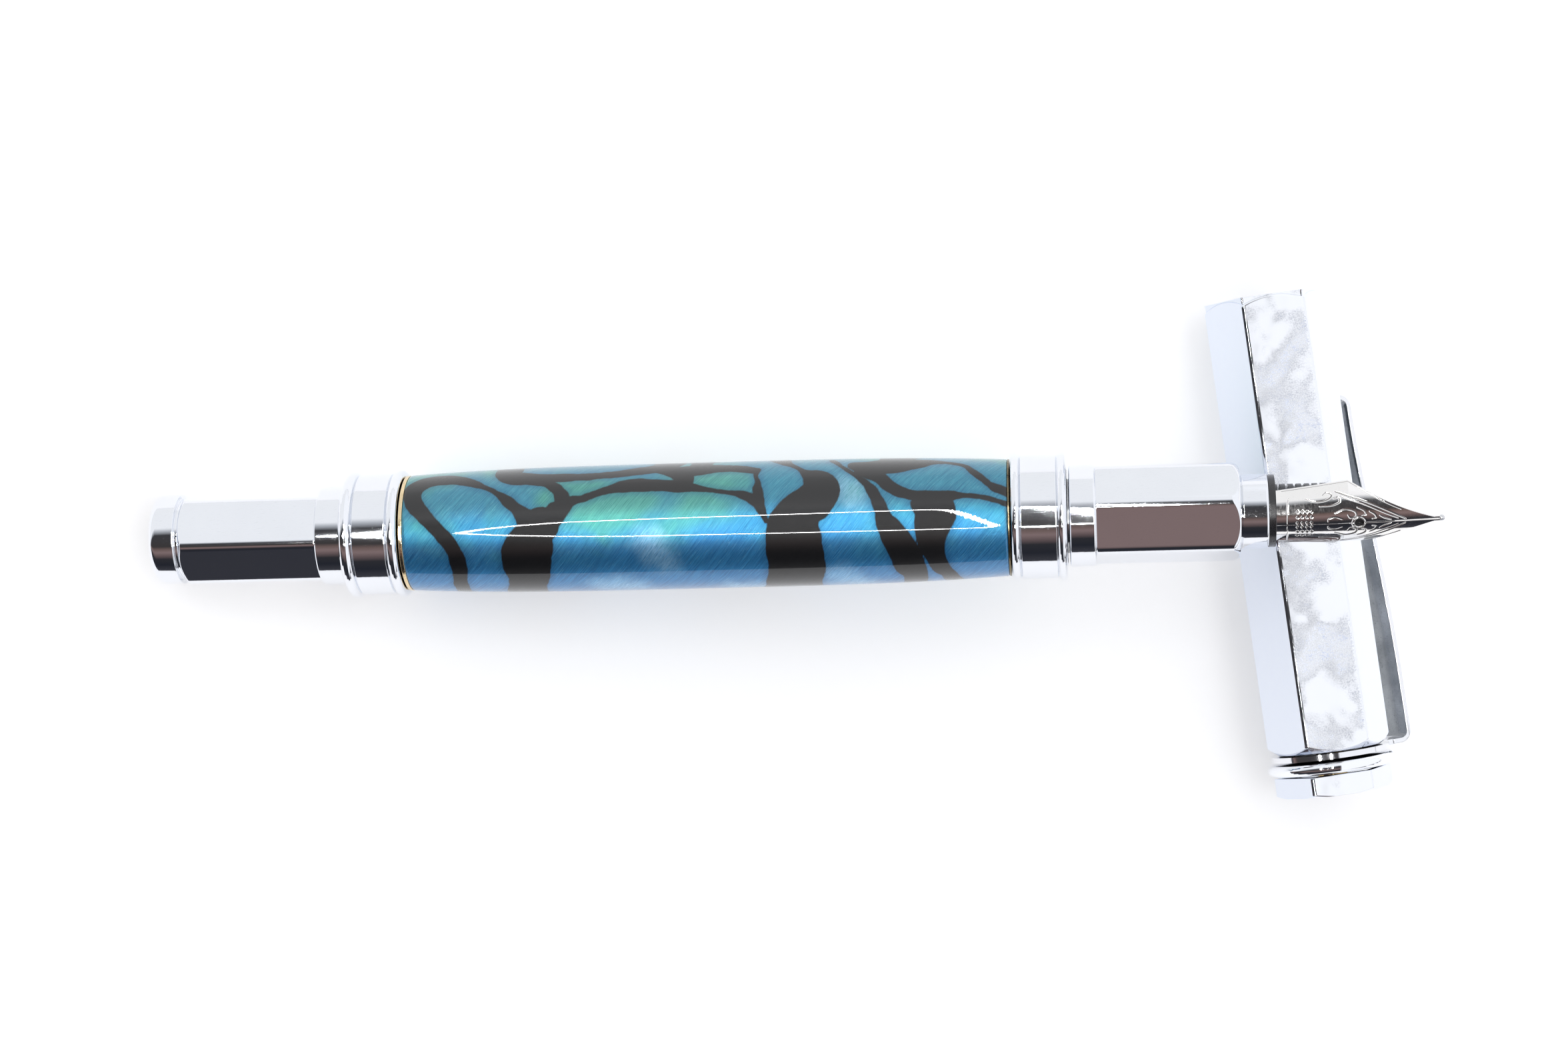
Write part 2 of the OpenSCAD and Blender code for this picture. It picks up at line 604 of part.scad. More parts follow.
// ---------- pen: nib ----------
nib_end = 0.5;
nib_rows = concat([-nib_in, 0], [for (i = [1:5]) nib_shoulder_at * i / 5],
                  [for (i = [1:16]) nib_shoulder_at + (nib_out - nib_end - nib_shoulder_at) * i / 16]);
nib_cols = 14;
function quad(p, q, r, s) = [[p, q, r], [p, r, s]];
a_breather = a_front + nib_shoulder_at + breather_after;
module nib() color("silver") pen_pose() rotate([nib_roll, 0, 0]) difference() {
    rows = len(nib_rows);
    per = nib_cols + 1;
    points = [for (side = [0, 1], d = nib_rows, j = [0:nib_cols])
              nib_point(d, 2 * j / nib_cols - 1, side * nib_thick)];
    inner = rows * per;
    cells = [for (i = [0:rows - 2], j = [0:nib_cols - 1]) i * per + j];
    last = (rows - 1) * per;
    polyhedron(points, concat(
        [for (p = cells) each quad(p, p + per, p + per + 1, p + 1)],
        [for (p = cells) let (q = inner + p) each quad(q, q + 1, q + per + 1, q + per)],
        [for (i = [0:rows - 2]) let (p = i * per) each quad(p, inner + p, inner + p + per, p + per)],
        [for (i = [0:rows - 2]) let (p = i * per + nib_cols)
            each quad(p, p + per, inner + p + per, inner + p)],
        [for (p = [0:nib_cols - 1]) each quad(p, p + 1, inner + p + 1, inner + p)],
        [for (p = [last:last + nib_cols - 1]) each quad(p, inner + p, inner + p + 1, p + 1)]));
    translate([a_breather, 0, 0]) cylinder(h = 2 * nib_r, r = breather_r, $fn = 24);
    translate([a_breather, -slit_w / 2, 0]) cube([nib_out, slit_w, 2 * nib_r]);
}
// The ball starts where the sheet ends, and the slit parts it in two.
ball_cut = 0.6;
module nib_tipping() color("lightgray") pen_pose() rotate([nib_roll, 0, 0]) intersection() {
    translate([a_ball, 0, ball_h]) sphere(r = tipping_r, $fn = 32);
    for (side = [0, 1]) mirror([0, side, 0])
        translate([a_ball - ball_cut * tipping_r, slit_w / 2, 0]) cube(2 * nib_r);
}

// ---------- pen: ink converter ----------
module converter_mouth() color("black") pen_pose() difference() {
    rim_less = 0.3;
    counterbore = 0.5;
    union() {
        rod(a_conv_tube_front, a_conv_front, conv_r - rim_less);
        rod(a_plug, a_conv_tube_front + lap, conv_in_r - press_gap);
    }
    rod(a_conv_tube_front - counterbore, a_conv_front + past, nipple_r + run_gap);
    rod(a_plug - past, a_conv_front, nipple_r / 2);
}
module converter_tube() color("lightcyan", 0.5) pen_pose()
    tube(a_conv_tube, a_conv_tube_front, conv_r, conv_in_r);
module converter_collar() color("silver") pen_pose() difference() {
    rod(a_conv_collar, a_conv_collar + conv_collar_len, conv_collar_r);
    rod(a_conv_tube, a_conv_tube + mouth_plug + past, conv_r + press_gap);
    rod(a_conv_collar - past, a_conv_tube + past, nut_r + run_gap);
}
module agitator_ball() color("silver") pen_pose()
    translate([a_plug - stop_gap - ball_r, 0, ball_r + lap - conv_in_r]) sphere(r = ball_r);
module piston_seal() color("black") pen_pose() {
    lip = 0.8;
    waist = 1.1;
    waist_r = piston_r - 0.4;
    turned([[0, a_piston], [piston_r, a_piston], [piston_r, a_piston + lip],
            [waist_r, a_piston + waist], [waist_r, a_piston_front - waist],
            [piston_r, a_piston_front - lip], [piston_r, a_piston_front], [0, a_piston_front]]);
}
module piston_rod() color("white") pen_pose() rod(a_rod, a_piston, piston_rod_r);
module converter_knob() color("black") pen_pose() difference() {
    a_knob_end = a_conv_knob + conv_knob_len;
    body_r = conv_knob_r - 0.15;
    rib = 0.5;
    rib_back = 1.2;
    rib_len = conv_knob_len - 3;
    end_cut = 0.45;
    end_cut_len = 0.6;
    union() {
        turned([[0, a_conv_knob], [body_r - end_cut, a_conv_knob], [body_r, a_conv_knob + end_cut_len],
                [body_r, a_knob_end], [0, a_knob_end]]);
        for (i = [0:knob_ribs - 1]) rotate([i * 360 / knob_ribs, 0, 0])
            translate([a_conv_knob + rib_back, -rib / 2, conv_knob_r - rib]) cube([rib_len, rib, rib]);
    }
    rod(a_conv_knob + knob_end_wall, a_knob_end + past, nut_r + press_gap);
}
module knob_nut() color("silver") pen_pose()
    tube(a_conv_knob + conv_knob_len - nut_in_knob, a_nut_end, nut_r, piston_rod_r + run_gap);

// ---------- cap ----------
module cap_shell() color("silver") cap_pose() difference() {
    mouth_cut = 0.25;
    corner_r = 1.5;
    arc_r = cap_side + lap - corner_r;
    arc_in = 1.9;
    intersection() {
        hex_bar(0, cap_len, cap_side, cap_round);
        turned(concat([[0, 0], [face_h - mouth_cut, 0]],
                      arc([arc_r, arc_in], corner_r, -50, 0),
                      arc([arc_r, cap_len - arc_in], corner_r, 0, 50),
                      [[face_h - mouth_cut, cap_len], [0, cap_len]]));
    }
    translate([-past, 0, 0]) hex_bar(0, socket_len + past, socket_flat_r / cos(30), lap);
    rod(socket_len - past, l_cup_end + stop_gap, inner_r + press_gap);
    rod(l_cup_end, l_stud, end_nut_r + press_gap);
    rod(l_cup_end, cap_len + past, stud_r + press_gap);
}
module cap_magnet_ring() color("dimgray") cap_pose()
    tube(socket_len, socket_len + cap_magnet_len, inner_r, chamber_r);
module inner_cap() color("black") cap_pose() difference() {
    rod(socket_len + cap_magnet_len, l_cup_end, inner_r);
    rod(socket_len + cap_magnet_len - past, chamber_end, chamber_r);
}
module cap_end_nut() color("goldenrod") cap_pose()
    rod(l_cup_end + 2 * stop_gap, l_stud - stop_gap, end_nut_r);
module clip_ring() color("silver") cap_pose() difference() {
    union() {
        rod(l_ring, l_ring + clip_ring_len, clip_ring_r);
        rotate([clip_face - 90, 0, 0]) translate([l_ring, -clip_w / 2, 0])
            cube([clip_ring_len, clip_w, clip_root - 2 * stop_gap]);
    }
    rod(l_ring - past, l_ring + clip_ring_len + past, stud_r + press_gap);
}
module finial_flange() color("silver") cap_pose() difference() {
    bead(l_flange, l_finial, flange_r);
    rod(l_flange - past, l_finial + past, stud_r + press_gap);
}
module finial_hex() color("silver") cap_pose() difference() {
    turn_in = 0.7;
    turn_len = 0.35;
    intersection() {
        hex_bar(l_finial, cap_total, finial_side, cap_round);
        turned([[0, l_finial], [finial_side, l_finial], [finial_side, cap_total - turn_len],
                [finial_side - turn_in, cap_total], [0, cap_total]]);
    }
    rod(l_finial - past, l_finial + stud_in_finial + stop_gap, stud_r + press_gap);
}
module finial_stud() color("goldenrod") cap_pose()
    rod(l_stud, l_finial + stud_in_finial, stud_r);

// ---------- clip ----------
clip_steps = 18;
clip_top = face_h + clip_rise - clip_thick / 2;
clip_root_sunk = 0.9;
clip_root = face_h + clip_end_rise - clip_root_sunk;
l_bend = l_ring + clip_ring_len / 2;
l_bend_end = l_bend - clip_bend_r;
l_clip_turn = clip_end_at + clip_roll_r;
clip_end_top = face_h + clip_end_rise - clip_thick / 2;
clip_foot_extra = 0.15;
clip_foot_r = clip_thick / 2 + clip_foot_extra;
clip_foot_h = face_h + clip_touch_gap + clip_foot_r;
function clip_line() = concat(
    [[l_bend, clip_root]],
    arc([l_bend_end, clip_top - clip_bend_r], clip_bend_r, 0, 80, 5),
    [for (i = [0:clip_steps]) let (u = i / clip_steps)
        [l_bend_end - u * (l_bend_end - l_clip_turn), clip_height(u)]],
    arc([l_clip_turn, clip_end_top - clip_roll_r], clip_roll_r, 100, 180, 5),
    [[clip_end_at, clip_foot_h]]);
// Both sides of a line of points, each at the distance h from it.
function thick_line(p, h) =
    let (n = len(p), normals = [for (i = [0:n - 1])
        let (d = p[min(n - 1, i + 1)] - p[max(0, i - 1)], s = norm(d)) [-d[1] / s, d[0] / s]])
    concat([for (i = [0:n - 1]) p[i] + h * normals[i]], [for (i = [n - 1:-1:0]) p[i] - h * normals[i]]);
module clip_arm() color("silver") cap_pose() rotate([clip_face - 90, 0, 0]) {
    translate([0, clip_w / 2, 0]) rotate([90, 0, 0])
        linear_extrude(height = clip_w) polygon(thick_line(clip_line(), clip_thick / 2));
    translate([clip_end_at, 0, clip_foot_h]) rotate([90, 0, 0])
        cylinder(h = clip_w, r = clip_foot_r, center = true);
}

rear_end_cap();
rear_magnet();
rear_post();
rear_coupler();
rear_trim_ring();
barrel_tube();
resin_barrel();
front_trim_ring();
front_coupler();
threaded_insert();
section_seal();
grip_section();
section_tenon();
nose_magnet_ring();
nib_housing();
feed();
nib();
nib_tipping();
converter_mouth();
converter_tube();
converter_collar();
agitator_ball();
piston_seal();
piston_rod();
converter_knob();
knob_nut();
cap_shell();
inner_cap();
cap_magnet_ring();
cap_end_nut();
clip_ring();
clip_arm();
finial_flange();
finial_hex();
finial_stud();
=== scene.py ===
import json
import math

import bpy
import numpy as np
from mathutils import Matrix, Vector


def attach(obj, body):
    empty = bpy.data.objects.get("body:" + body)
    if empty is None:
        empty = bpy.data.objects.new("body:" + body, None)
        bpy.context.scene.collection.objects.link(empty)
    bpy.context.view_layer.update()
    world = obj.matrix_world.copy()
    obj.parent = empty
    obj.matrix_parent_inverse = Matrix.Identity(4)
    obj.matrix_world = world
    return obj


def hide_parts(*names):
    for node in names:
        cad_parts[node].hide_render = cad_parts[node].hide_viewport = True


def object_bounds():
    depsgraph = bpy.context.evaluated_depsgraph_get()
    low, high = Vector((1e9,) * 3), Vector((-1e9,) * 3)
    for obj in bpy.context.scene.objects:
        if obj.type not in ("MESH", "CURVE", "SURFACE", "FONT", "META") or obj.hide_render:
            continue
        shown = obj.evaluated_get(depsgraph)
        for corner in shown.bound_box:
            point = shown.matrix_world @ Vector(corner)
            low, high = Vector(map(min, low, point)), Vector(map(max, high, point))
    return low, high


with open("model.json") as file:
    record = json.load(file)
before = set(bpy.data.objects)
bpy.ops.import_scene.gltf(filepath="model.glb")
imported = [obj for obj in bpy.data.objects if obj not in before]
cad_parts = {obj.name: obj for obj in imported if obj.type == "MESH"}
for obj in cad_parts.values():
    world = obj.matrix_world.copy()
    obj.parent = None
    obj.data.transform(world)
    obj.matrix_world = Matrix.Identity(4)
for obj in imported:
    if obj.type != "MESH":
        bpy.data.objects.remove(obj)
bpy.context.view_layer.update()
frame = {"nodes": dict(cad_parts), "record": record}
MM = 0.001
COS30 = math.cos(math.radians(30))

# ---------- the two local frames, in millimetres: along the axis, across, up ----------
mounts = {m["name"]: m for m in frame["record"]["mounts"]}


def unit(v):
    v = np.asarray(v, float)
    return v / np.linalg.norm(v)


class Axes:
    def __init__(self, origin, along):
        self.o = np.array(origin, float)
        self.x = unit(along)
        self.y = unit(np.cross((0, 0, 1), self.x))
        self.z = np.cross(self.x, self.y)

    def world(self, p):
        p = np.asarray(p, float) * MM
        return self.o + p[..., :1] * self.x + p[..., 1:2] * self.y + p[..., 2:3] * self.z

    def local(self, w):
        d = np.asarray(w, float) - self.o
        return np.stack([d @ self.x, d @ self.y, d @ self.z], -1) / MM


pen = Axes(mounts["rear_face"]["pos_m"], -np.array(mounts["rear_face"]["axis"]))
cap_from = np.array(mounts["cap_socket"]["pos_m"])
cap = Axes(cap_from, np.array(mounts["finial_face"]["pos_m"]) - cap_from)


def local_verts(node, axes=pen):
    """A CAD node's points in a local frame, in millimetres."""
    me = frame["nodes"][node].data
    co = np.zeros(len(me.vertices) * 3)
    me.vertices.foreach_get("co", co)
    return axes.local(co.reshape(-1, 3))


def span(node, axes=pen):
    """Where a node starts and ends along the axis."""
    a = local_verts(node, axes)[:, 0]
    return float(a.min()), float(a.max())


def stations_radii(node, axes=pen):
    p = local_verts(node, axes)
    return p[:, 0], np.hypot(p[:, 1], p[:, 2])


def reach(node, axes=pen):
    """How far a node gets from the axis."""
    return float(stations_radii(node, axes)[1].max())


# ---------- mesh helpers ----------
def make(name, verts, faces, body, axes, material, attributes=None):
    """A new piece from points in a local frame, in millimetres, that rides on one body."""
    me = bpy.data.meshes.new(name)
    me.from_pydata(axes.world(verts).tolist(), [], faces)
    me.update()
    me.polygons.foreach_set("use_smooth", [True] * len(me.polygons))
    for key, values in (attributes or {}).items():
        kind = "FLOAT" if np.ndim(values) == 1 else "FLOAT_VECTOR"
        at = me.attributes.new(key, kind, "POINT")
        field = "value" if kind == "FLOAT" else "vector"
        at.data.foreach_set(field, np.asarray(values, np.float32).ravel())
    ob = bpy.data.objects.new(name, me)
    bpy.context.scene.collection.objects.link(ob)
    me.materials.append(material)
    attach(ob, body)
    return ob


def grid_faces(rows, cols, wrap_cols=True, wrap_rows=False):
    faces = []
    row_n = rows if wrap_rows else rows - 1
    col_n = cols if wrap_cols else cols - 1
    for i in range(row_n):
        i2 = (i + 1) % rows
        for j in range(col_n):
            j2 = (j + 1) % cols
            faces.append((i * cols + j, i2 * cols + j, i2 * cols + j2, i * cols + j2))
    return faces


def sweep(name, rings, angles, body, axes, material, closed=False, attributes=None):
    """rings is a list of (stations, radii), each a number or one value per angle."""
    n = len(angles)
    grid = np.zeros((len(rings), n, 3))
    for i, (a, r) in enumerate(rings):
        grid[i, :, 0] = a
        grid[i, :, 1] = np.asarray(r) * np.sin(angles)
        grid[i, :, 2] = np.asarray(r) * np.cos(angles)
    faces = grid_faces(len(rings), n, True, closed)
    if not closed:
        faces.append(tuple(range(n)))
        faces.append(tuple(reversed(range((len(rings) - 1) * n, len(rings) * n))))
    return make(name, grid.reshape(-1, 3), faces, body, axes, material, attributes)


def filleted(points, radius=0.08, steps=4, hold=0.03):
    """A profile of (station, radius) points with rounded corners and a ring held close to each rounding."""
    pts = [np.array(p, float) for p in points]
    out = [pts[0]]
    for i in range(1, len(pts) - 1):
        p, c, q = pts[i - 1], pts[i], pts[i + 1]
        u, v = p - c, q - c
        lu, lv = np.linalg.norm(u), np.linalg.norm(v)
        if lu < 1e-6 or lv < 1e-6:
            continue
        u, v = u / lu, v / lv
        turn = math.acos(max(-1, min(1, float(-u @ v))))
        if turn < 0.15:
            out.append(c)
            continue
        cut = min(radius * math.tan(turn / 2), 0.42 * lu, 0.42 * lv)
        if cut + hold < 0.45 * lu:
            out.append(c + u * (cut + hold))
        for k in range(steps + 1):
            t = k / steps
            out.append((1 - t) ** 2 * (c + u * cut) + 2 * t * (1 - t) * c + t * t * (c + v * cut))
        if cut + hold < 0.45 * lv:
            out.append(c + v * (cut + hold))
    out.append(pts[-1])
    return [tuple(p) for p in out]


def turned(name, profile, body, axes, material, radius=0.08, segments=192, closed=True):
    """A turned piece. A closed profile runs round a ring, an open one starts and ends on the axis."""
    if closed:
        mid = (np.array(profile[0]) + np.array(profile[-1])) / 2
        points = [tuple(mid)] + list(profile) + [tuple(mid)]
        rings = filleted(points, radius)[:-1]
    else:
        rings = filleted(profile, radius)
    angles = np.linspace(0, 2 * np.pi, segments, endpoint=False)
    return sweep(name, rings, angles, body, axes, material, closed)


def hex_angles(roll_deg, arc_half=8.0, on_arc=12, on_flat=30):
    """Angles that lie closer at a hexagon's corners: from a flat, and turned back by the roll."""
    out = []
    for k in range(6):
        lo, hi = -30 + arc_half, 30 - arc_half
        out += list(np.linspace(lo, hi, on_flat, endpoint=False) + 60 * k)
        out += list(np.linspace(hi, hi + 2 * arc_half, on_arc, endpoint=False) + 60 * k)
    return np.radians(np.array(out)), np.radians(np.array(out) - roll_deg)


def hex_radius(angles, side, round_):
    """Distance from the axis to a rounded hexagon whose flats are 60 degrees apart, from angle 0."""
    c = side - round_ / COS30
    flat = c * COS30 + round_
    t = (angles + np.pi / 6) % (np.pi / 3) - np.pi / 6
    on_flat = flat / np.cos(t)
    d = np.pi / 6 - np.abs(t)
    on_arc = c * np.cos(d) + np.sqrt(np.maximum(round_**2 - (c * np.sin(d)) ** 2, 0))
    return np.where(np.abs(on_flat * np.sin(t)) <= c * 0.5, on_flat, on_arc)


def soft_min(a, b, k=0.12):
    """The smaller of two values, rounded where they cross."""
    h = np.clip(0.5 + 0.5 * (b - a) / k, 0, 1)
    return b * (1 - h) + a * h - k * h * (1 - h)


# ---------- materials ----------
class Nodes:
    def __init__(self, name):
        self.m = bpy.data.materials.new(name)
        self.m.use_nodes = True
        self.t = self.m.node_tree
        self.t.nodes.clear()
        self.out = self.t.nodes.new("ShaderNodeOutputMaterial")
        self.b = self.t.nodes.new("ShaderNodeBsdfPrincipled")
        self.t.links.new(self.b.outputs[0], self.out.inputs[0])

    def put(self, socket, value):
        if isinstance(value, bpy.types.NodeSocket):
            self.t.links.new(value, socket)
        elif isinstance(value, (tuple, list)) and len(value) == 3 and socket.type == "RGBA":
            socket.default_value = (*value, 1)
        else:
            socket.default_value = value

    def node(self, kind, out=0, props=None, **inputs):
        n = self.t.nodes.new("ShaderNode" + kind)
        for k, v in (props or {}).items():
            setattr(n, k, v)
        for k, v in inputs.items():
            key = int(k[1:]) if k[0] == "i" and k[1:].isdigit() else k.replace("_", " ")
            self.put(n.inputs[key], v)
        return n.outputs[out]

    def math(self, op, a, b=0.0, c=None, clamp=False):
        extra = {} if c is None else {"i2": c}
        return self.node("Math", props={"operation": op, "use_clamp": clamp}, i0=a, i1=b, **extra)

    def coords(self, scale=(1, 1, 1), turn=(0, 0, 0)):
        o = self.node("TexCoord", out="Object")
        return self.node("Mapping", Vector=o, Scale=scale, Rotation=turn)

    def noise(self, vector, scale, detail=3.0, rough=0.55, distort=0.0):
        return self.node("TexNoise", Vector=vector, Scale=scale, Detail=detail, Roughness=rough,
                         Distortion=distort)

    def ramp(self, value, lo, hi, a=0.0, b=1.0):
        return self.node("MapRange", Value=value, From_Min=lo, From_Max=hi, To_Min=a, To_Max=b)

    def smooth(self, value, lo, hi, a=0.0, b=1.0):
        return self.node("MapRange", props={"interpolation_type": "SMOOTHSTEP"}, Value=value,
                         From_Min=lo, From_Max=hi, To_Min=a, To_Max=b)

    def mix(self, f, a, b):
        n = self.t.nodes.new("ShaderNodeMix")
        n.data_type = "RGBA"
        self.put(n.inputs[0], f)
        self.put(n.inputs[6], a)
        self.put(n.inputs[7], b)
        return n.outputs[2]

    def attribute(self, name, out="Fac"):
        n = self.t.nodes.new("ShaderNodeAttribute")
        n.attribute_name = name
        return n.outputs[out]

    def bump(self, height, strength, distance):
        return self.node("Bump", Height=height, Strength=strength, Distance=distance)

    def set(self, **values):
        for k, v in values.items():
            self.put(self.b.inputs[k.replace("_", " ")], v)


def turn_of(axes):
    """Euler angles that bring the axis of a frame onto X, for streaks that run round or along a piece."""
    m = Matrix([list(axes.x), list(axes.y), list(axes.z)])
    return tuple(m.to_euler())


def metal(name, light, dark, rough, rough_more=0.06, axes=pen, scratch=0.2, grain=0.15, bump=0.06):
    """Polished metal with fine scratches round the axis, faint clouds and dust."""
    n = Nodes(name)
    plain = n.coords()
    lines = n.coords(scale=(1500, 9000, 9000), turn=turn_of(axes))
    fine = n.noise(lines, 1.0, 4.0, 0.6)
    cloud = n.noise(plain, 260.0, 3.0, 0.5)
    dust = n.noise(plain, 6500.0, 2.0, 0.6)
    worn = n.smooth(fine, 0.58, 0.74)
    grainy = n.smooth(dust, 0.6, 0.75)
    tarnish = n.math("ADD", n.math("MULTIPLY", worn, scratch), n.math("MULTIPLY", cloud, grain))
    n.set(
        Metallic=1.0,
        Base_Color=n.mix(tarnish, light, dark),
        Roughness=n.math("ADD", n.math("MULTIPLY", n.math("ADD", worn, grainy), rough_more), rough),
        Normal=n.bump(n.math("ADD", fine, n.math("MULTIPLY", dust, 0.5)), bump, 0.00001),
    )
    return n.m


chrome = metal("chrome", (0.84, 0.86, 0.90), (0.58, 0.60, 0.65), 0.04)
def cap_material():
    """Chrome whose top face is worn: soft dents, clouds of fine scratches and bright spots. The other faces
    are greyed with painted shade.
    """
    n = Nodes("chrome_cap")
    plain = n.coords()
    dents = n.noise(plain, 150.0, 2.0, 0.45)
    spots = n.noise(plain, 210.0, 2.0, 0.5, 0.3)
    grit = n.noise(plain, 5200.0, 5.0, 0.7)
    lines = n.noise(n.coords(scale=(2500, 9000, 5000), turn=turn_of(cap)), 1.0, 4.0, 0.65)
    top = n.attribute("top")
    side = n.attribute("side")
    rough_zone = n.math("MULTIPLY", n.smooth(spots, 0.40, 0.66), top)
    patchy = n.ramp(n.noise(plain, 900.0, 3.0, 0.6), 0.38, 0.62, 0.35, 1.0)
    scratched = n.math("MULTIPLY", n.math("MULTIPLY", rough_zone, patchy),
                       n.smooth(n.math("ADD", grit, n.math("MULTIPLY", lines, 0.5)), 0.70, 0.84))
    # Painted shade: the side attribute greys the base colour of the faces away from the top, one side most,
    # for the shadowed floor they reflect.
    plate_with_painted_shade = n.mix(side, (0.88, 0.90, 0.94), (0.74, 0.78, 0.86))
    worn_rough = n.math("ADD", n.math("MULTIPLY", scratched, 0.2), 0.05)
    dent_height = n.math("MULTIPLY", n.math("MULTIPLY", dents, top), 9.0)
    grit_height = n.math("MULTIPLY", grit, n.math("MULTIPLY", rough_zone, 0.5))
    n.set(
        Metallic=1.0,
        Base_Color=n.mix(n.math("MULTIPLY", scratched, 0.85), plate_with_painted_shade, (0.30, 0.34, 0.45)),
        Roughness=n.math("ADD", n.math("MULTIPLY", rough_zone, 0.16), worn_rough),
        Normal=n.bump(n.math("ADD", dent_height, grit_height), 0.35, 0.00002),
    )
    return n.m


cap_chrome = cap_material()
clip_chrome = metal("chrome_clip", (0.86, 0.87, 0.90), (0.50, 0.52, 0.56), 0.08, 0.1, cap, 0.3, 0.2, 0.08)
# Painted shade: the clip's face towards the cap has a dark grey base colour for the shade between clip and
# cap; it is also rougher.
clip_face_painted_shade = metal("chrome_clip_painted_shade", (0.46, 0.48, 0.50), (0.10, 0.11, 0.12), 0.10, 0.15, cap,
                   0.7, 1.0, 0.3)
brass = metal("brass", (0.83, 0.62, 0.30), (0.45, 0.28, 0.10), 0.16, 0.15, pen, 0.5, 0.5, 0.12)
gold = metal("brass_trim", (0.90, 0.74, 0.48), (0.50, 0.36, 0.20), 0.12, 0.3, pen, 0.9, 0.6, 0.5)
dark_gold = metal("trim_dark", (0.42, 0.34, 0.20), (0.02, 0.02, 0.02), 0.2, 0.3, pen, 0.9, 1.1, 0.5)
magnet = metal("magnet", (0.42, 0.42, 0.44), (0.10, 0.10, 0.11), 0.25, 0.15, pen, 0.6, 0.5, 0.15)
steel = metal("steel_rods", (0.70, 0.71, 0.73), (0.40, 0.41, 0.43), 0.14, 0.12, pen, 0.5, 0.3, 0.1)


def matt(name, a, b, rough, coat=0.0, scale=1800.0, bump=0.15, see_through=0.0):
    """Plastic or rubber, mottled from one colour to another."""
    n = Nodes(name)
    c = n.coords()
    speck = n.noise(c, scale * 3, 3.0, 0.6)
    cloud = n.noise(c, scale / 6, 3.0, 0.5)
    n.set(
        Base_Color=n.mix(n.ramp(cloud, 0.3, 0.7), a, b),
        Roughness=n.ramp(speck, 0.3, 0.7, rough * 0.8, rough * 1.2),
        Normal=n.bump(speck, bump, 0.00001),
        Coat_Weight=coat,
        Transmission_Weight=see_through,
        IOR=1.49,
    )
    return n.m


black = matt("black_plastic", (0.012, 0.012, 0.013), (0.022, 0.022, 0.025), 0.35, 0.2)
nose_black = matt("magnet_black", (0.010, 0.010, 0.012), (0.03, 0.03, 0.034), 0.28, 0.3)
rubber = matt("rubber", (0.016, 0.016, 0.017), (0.03, 0.03, 0.032), 0.6)
white = matt("white_plastic", (0.78, 0.78, 0.76), (0.68, 0.68, 0.66), 0.4)
clear = matt("clear_plastic", (0.95, 0.97, 0.98), (0.88, 0.93, 0.95), 0.06, 0.3, 1800.0, 0.03, 1.0)


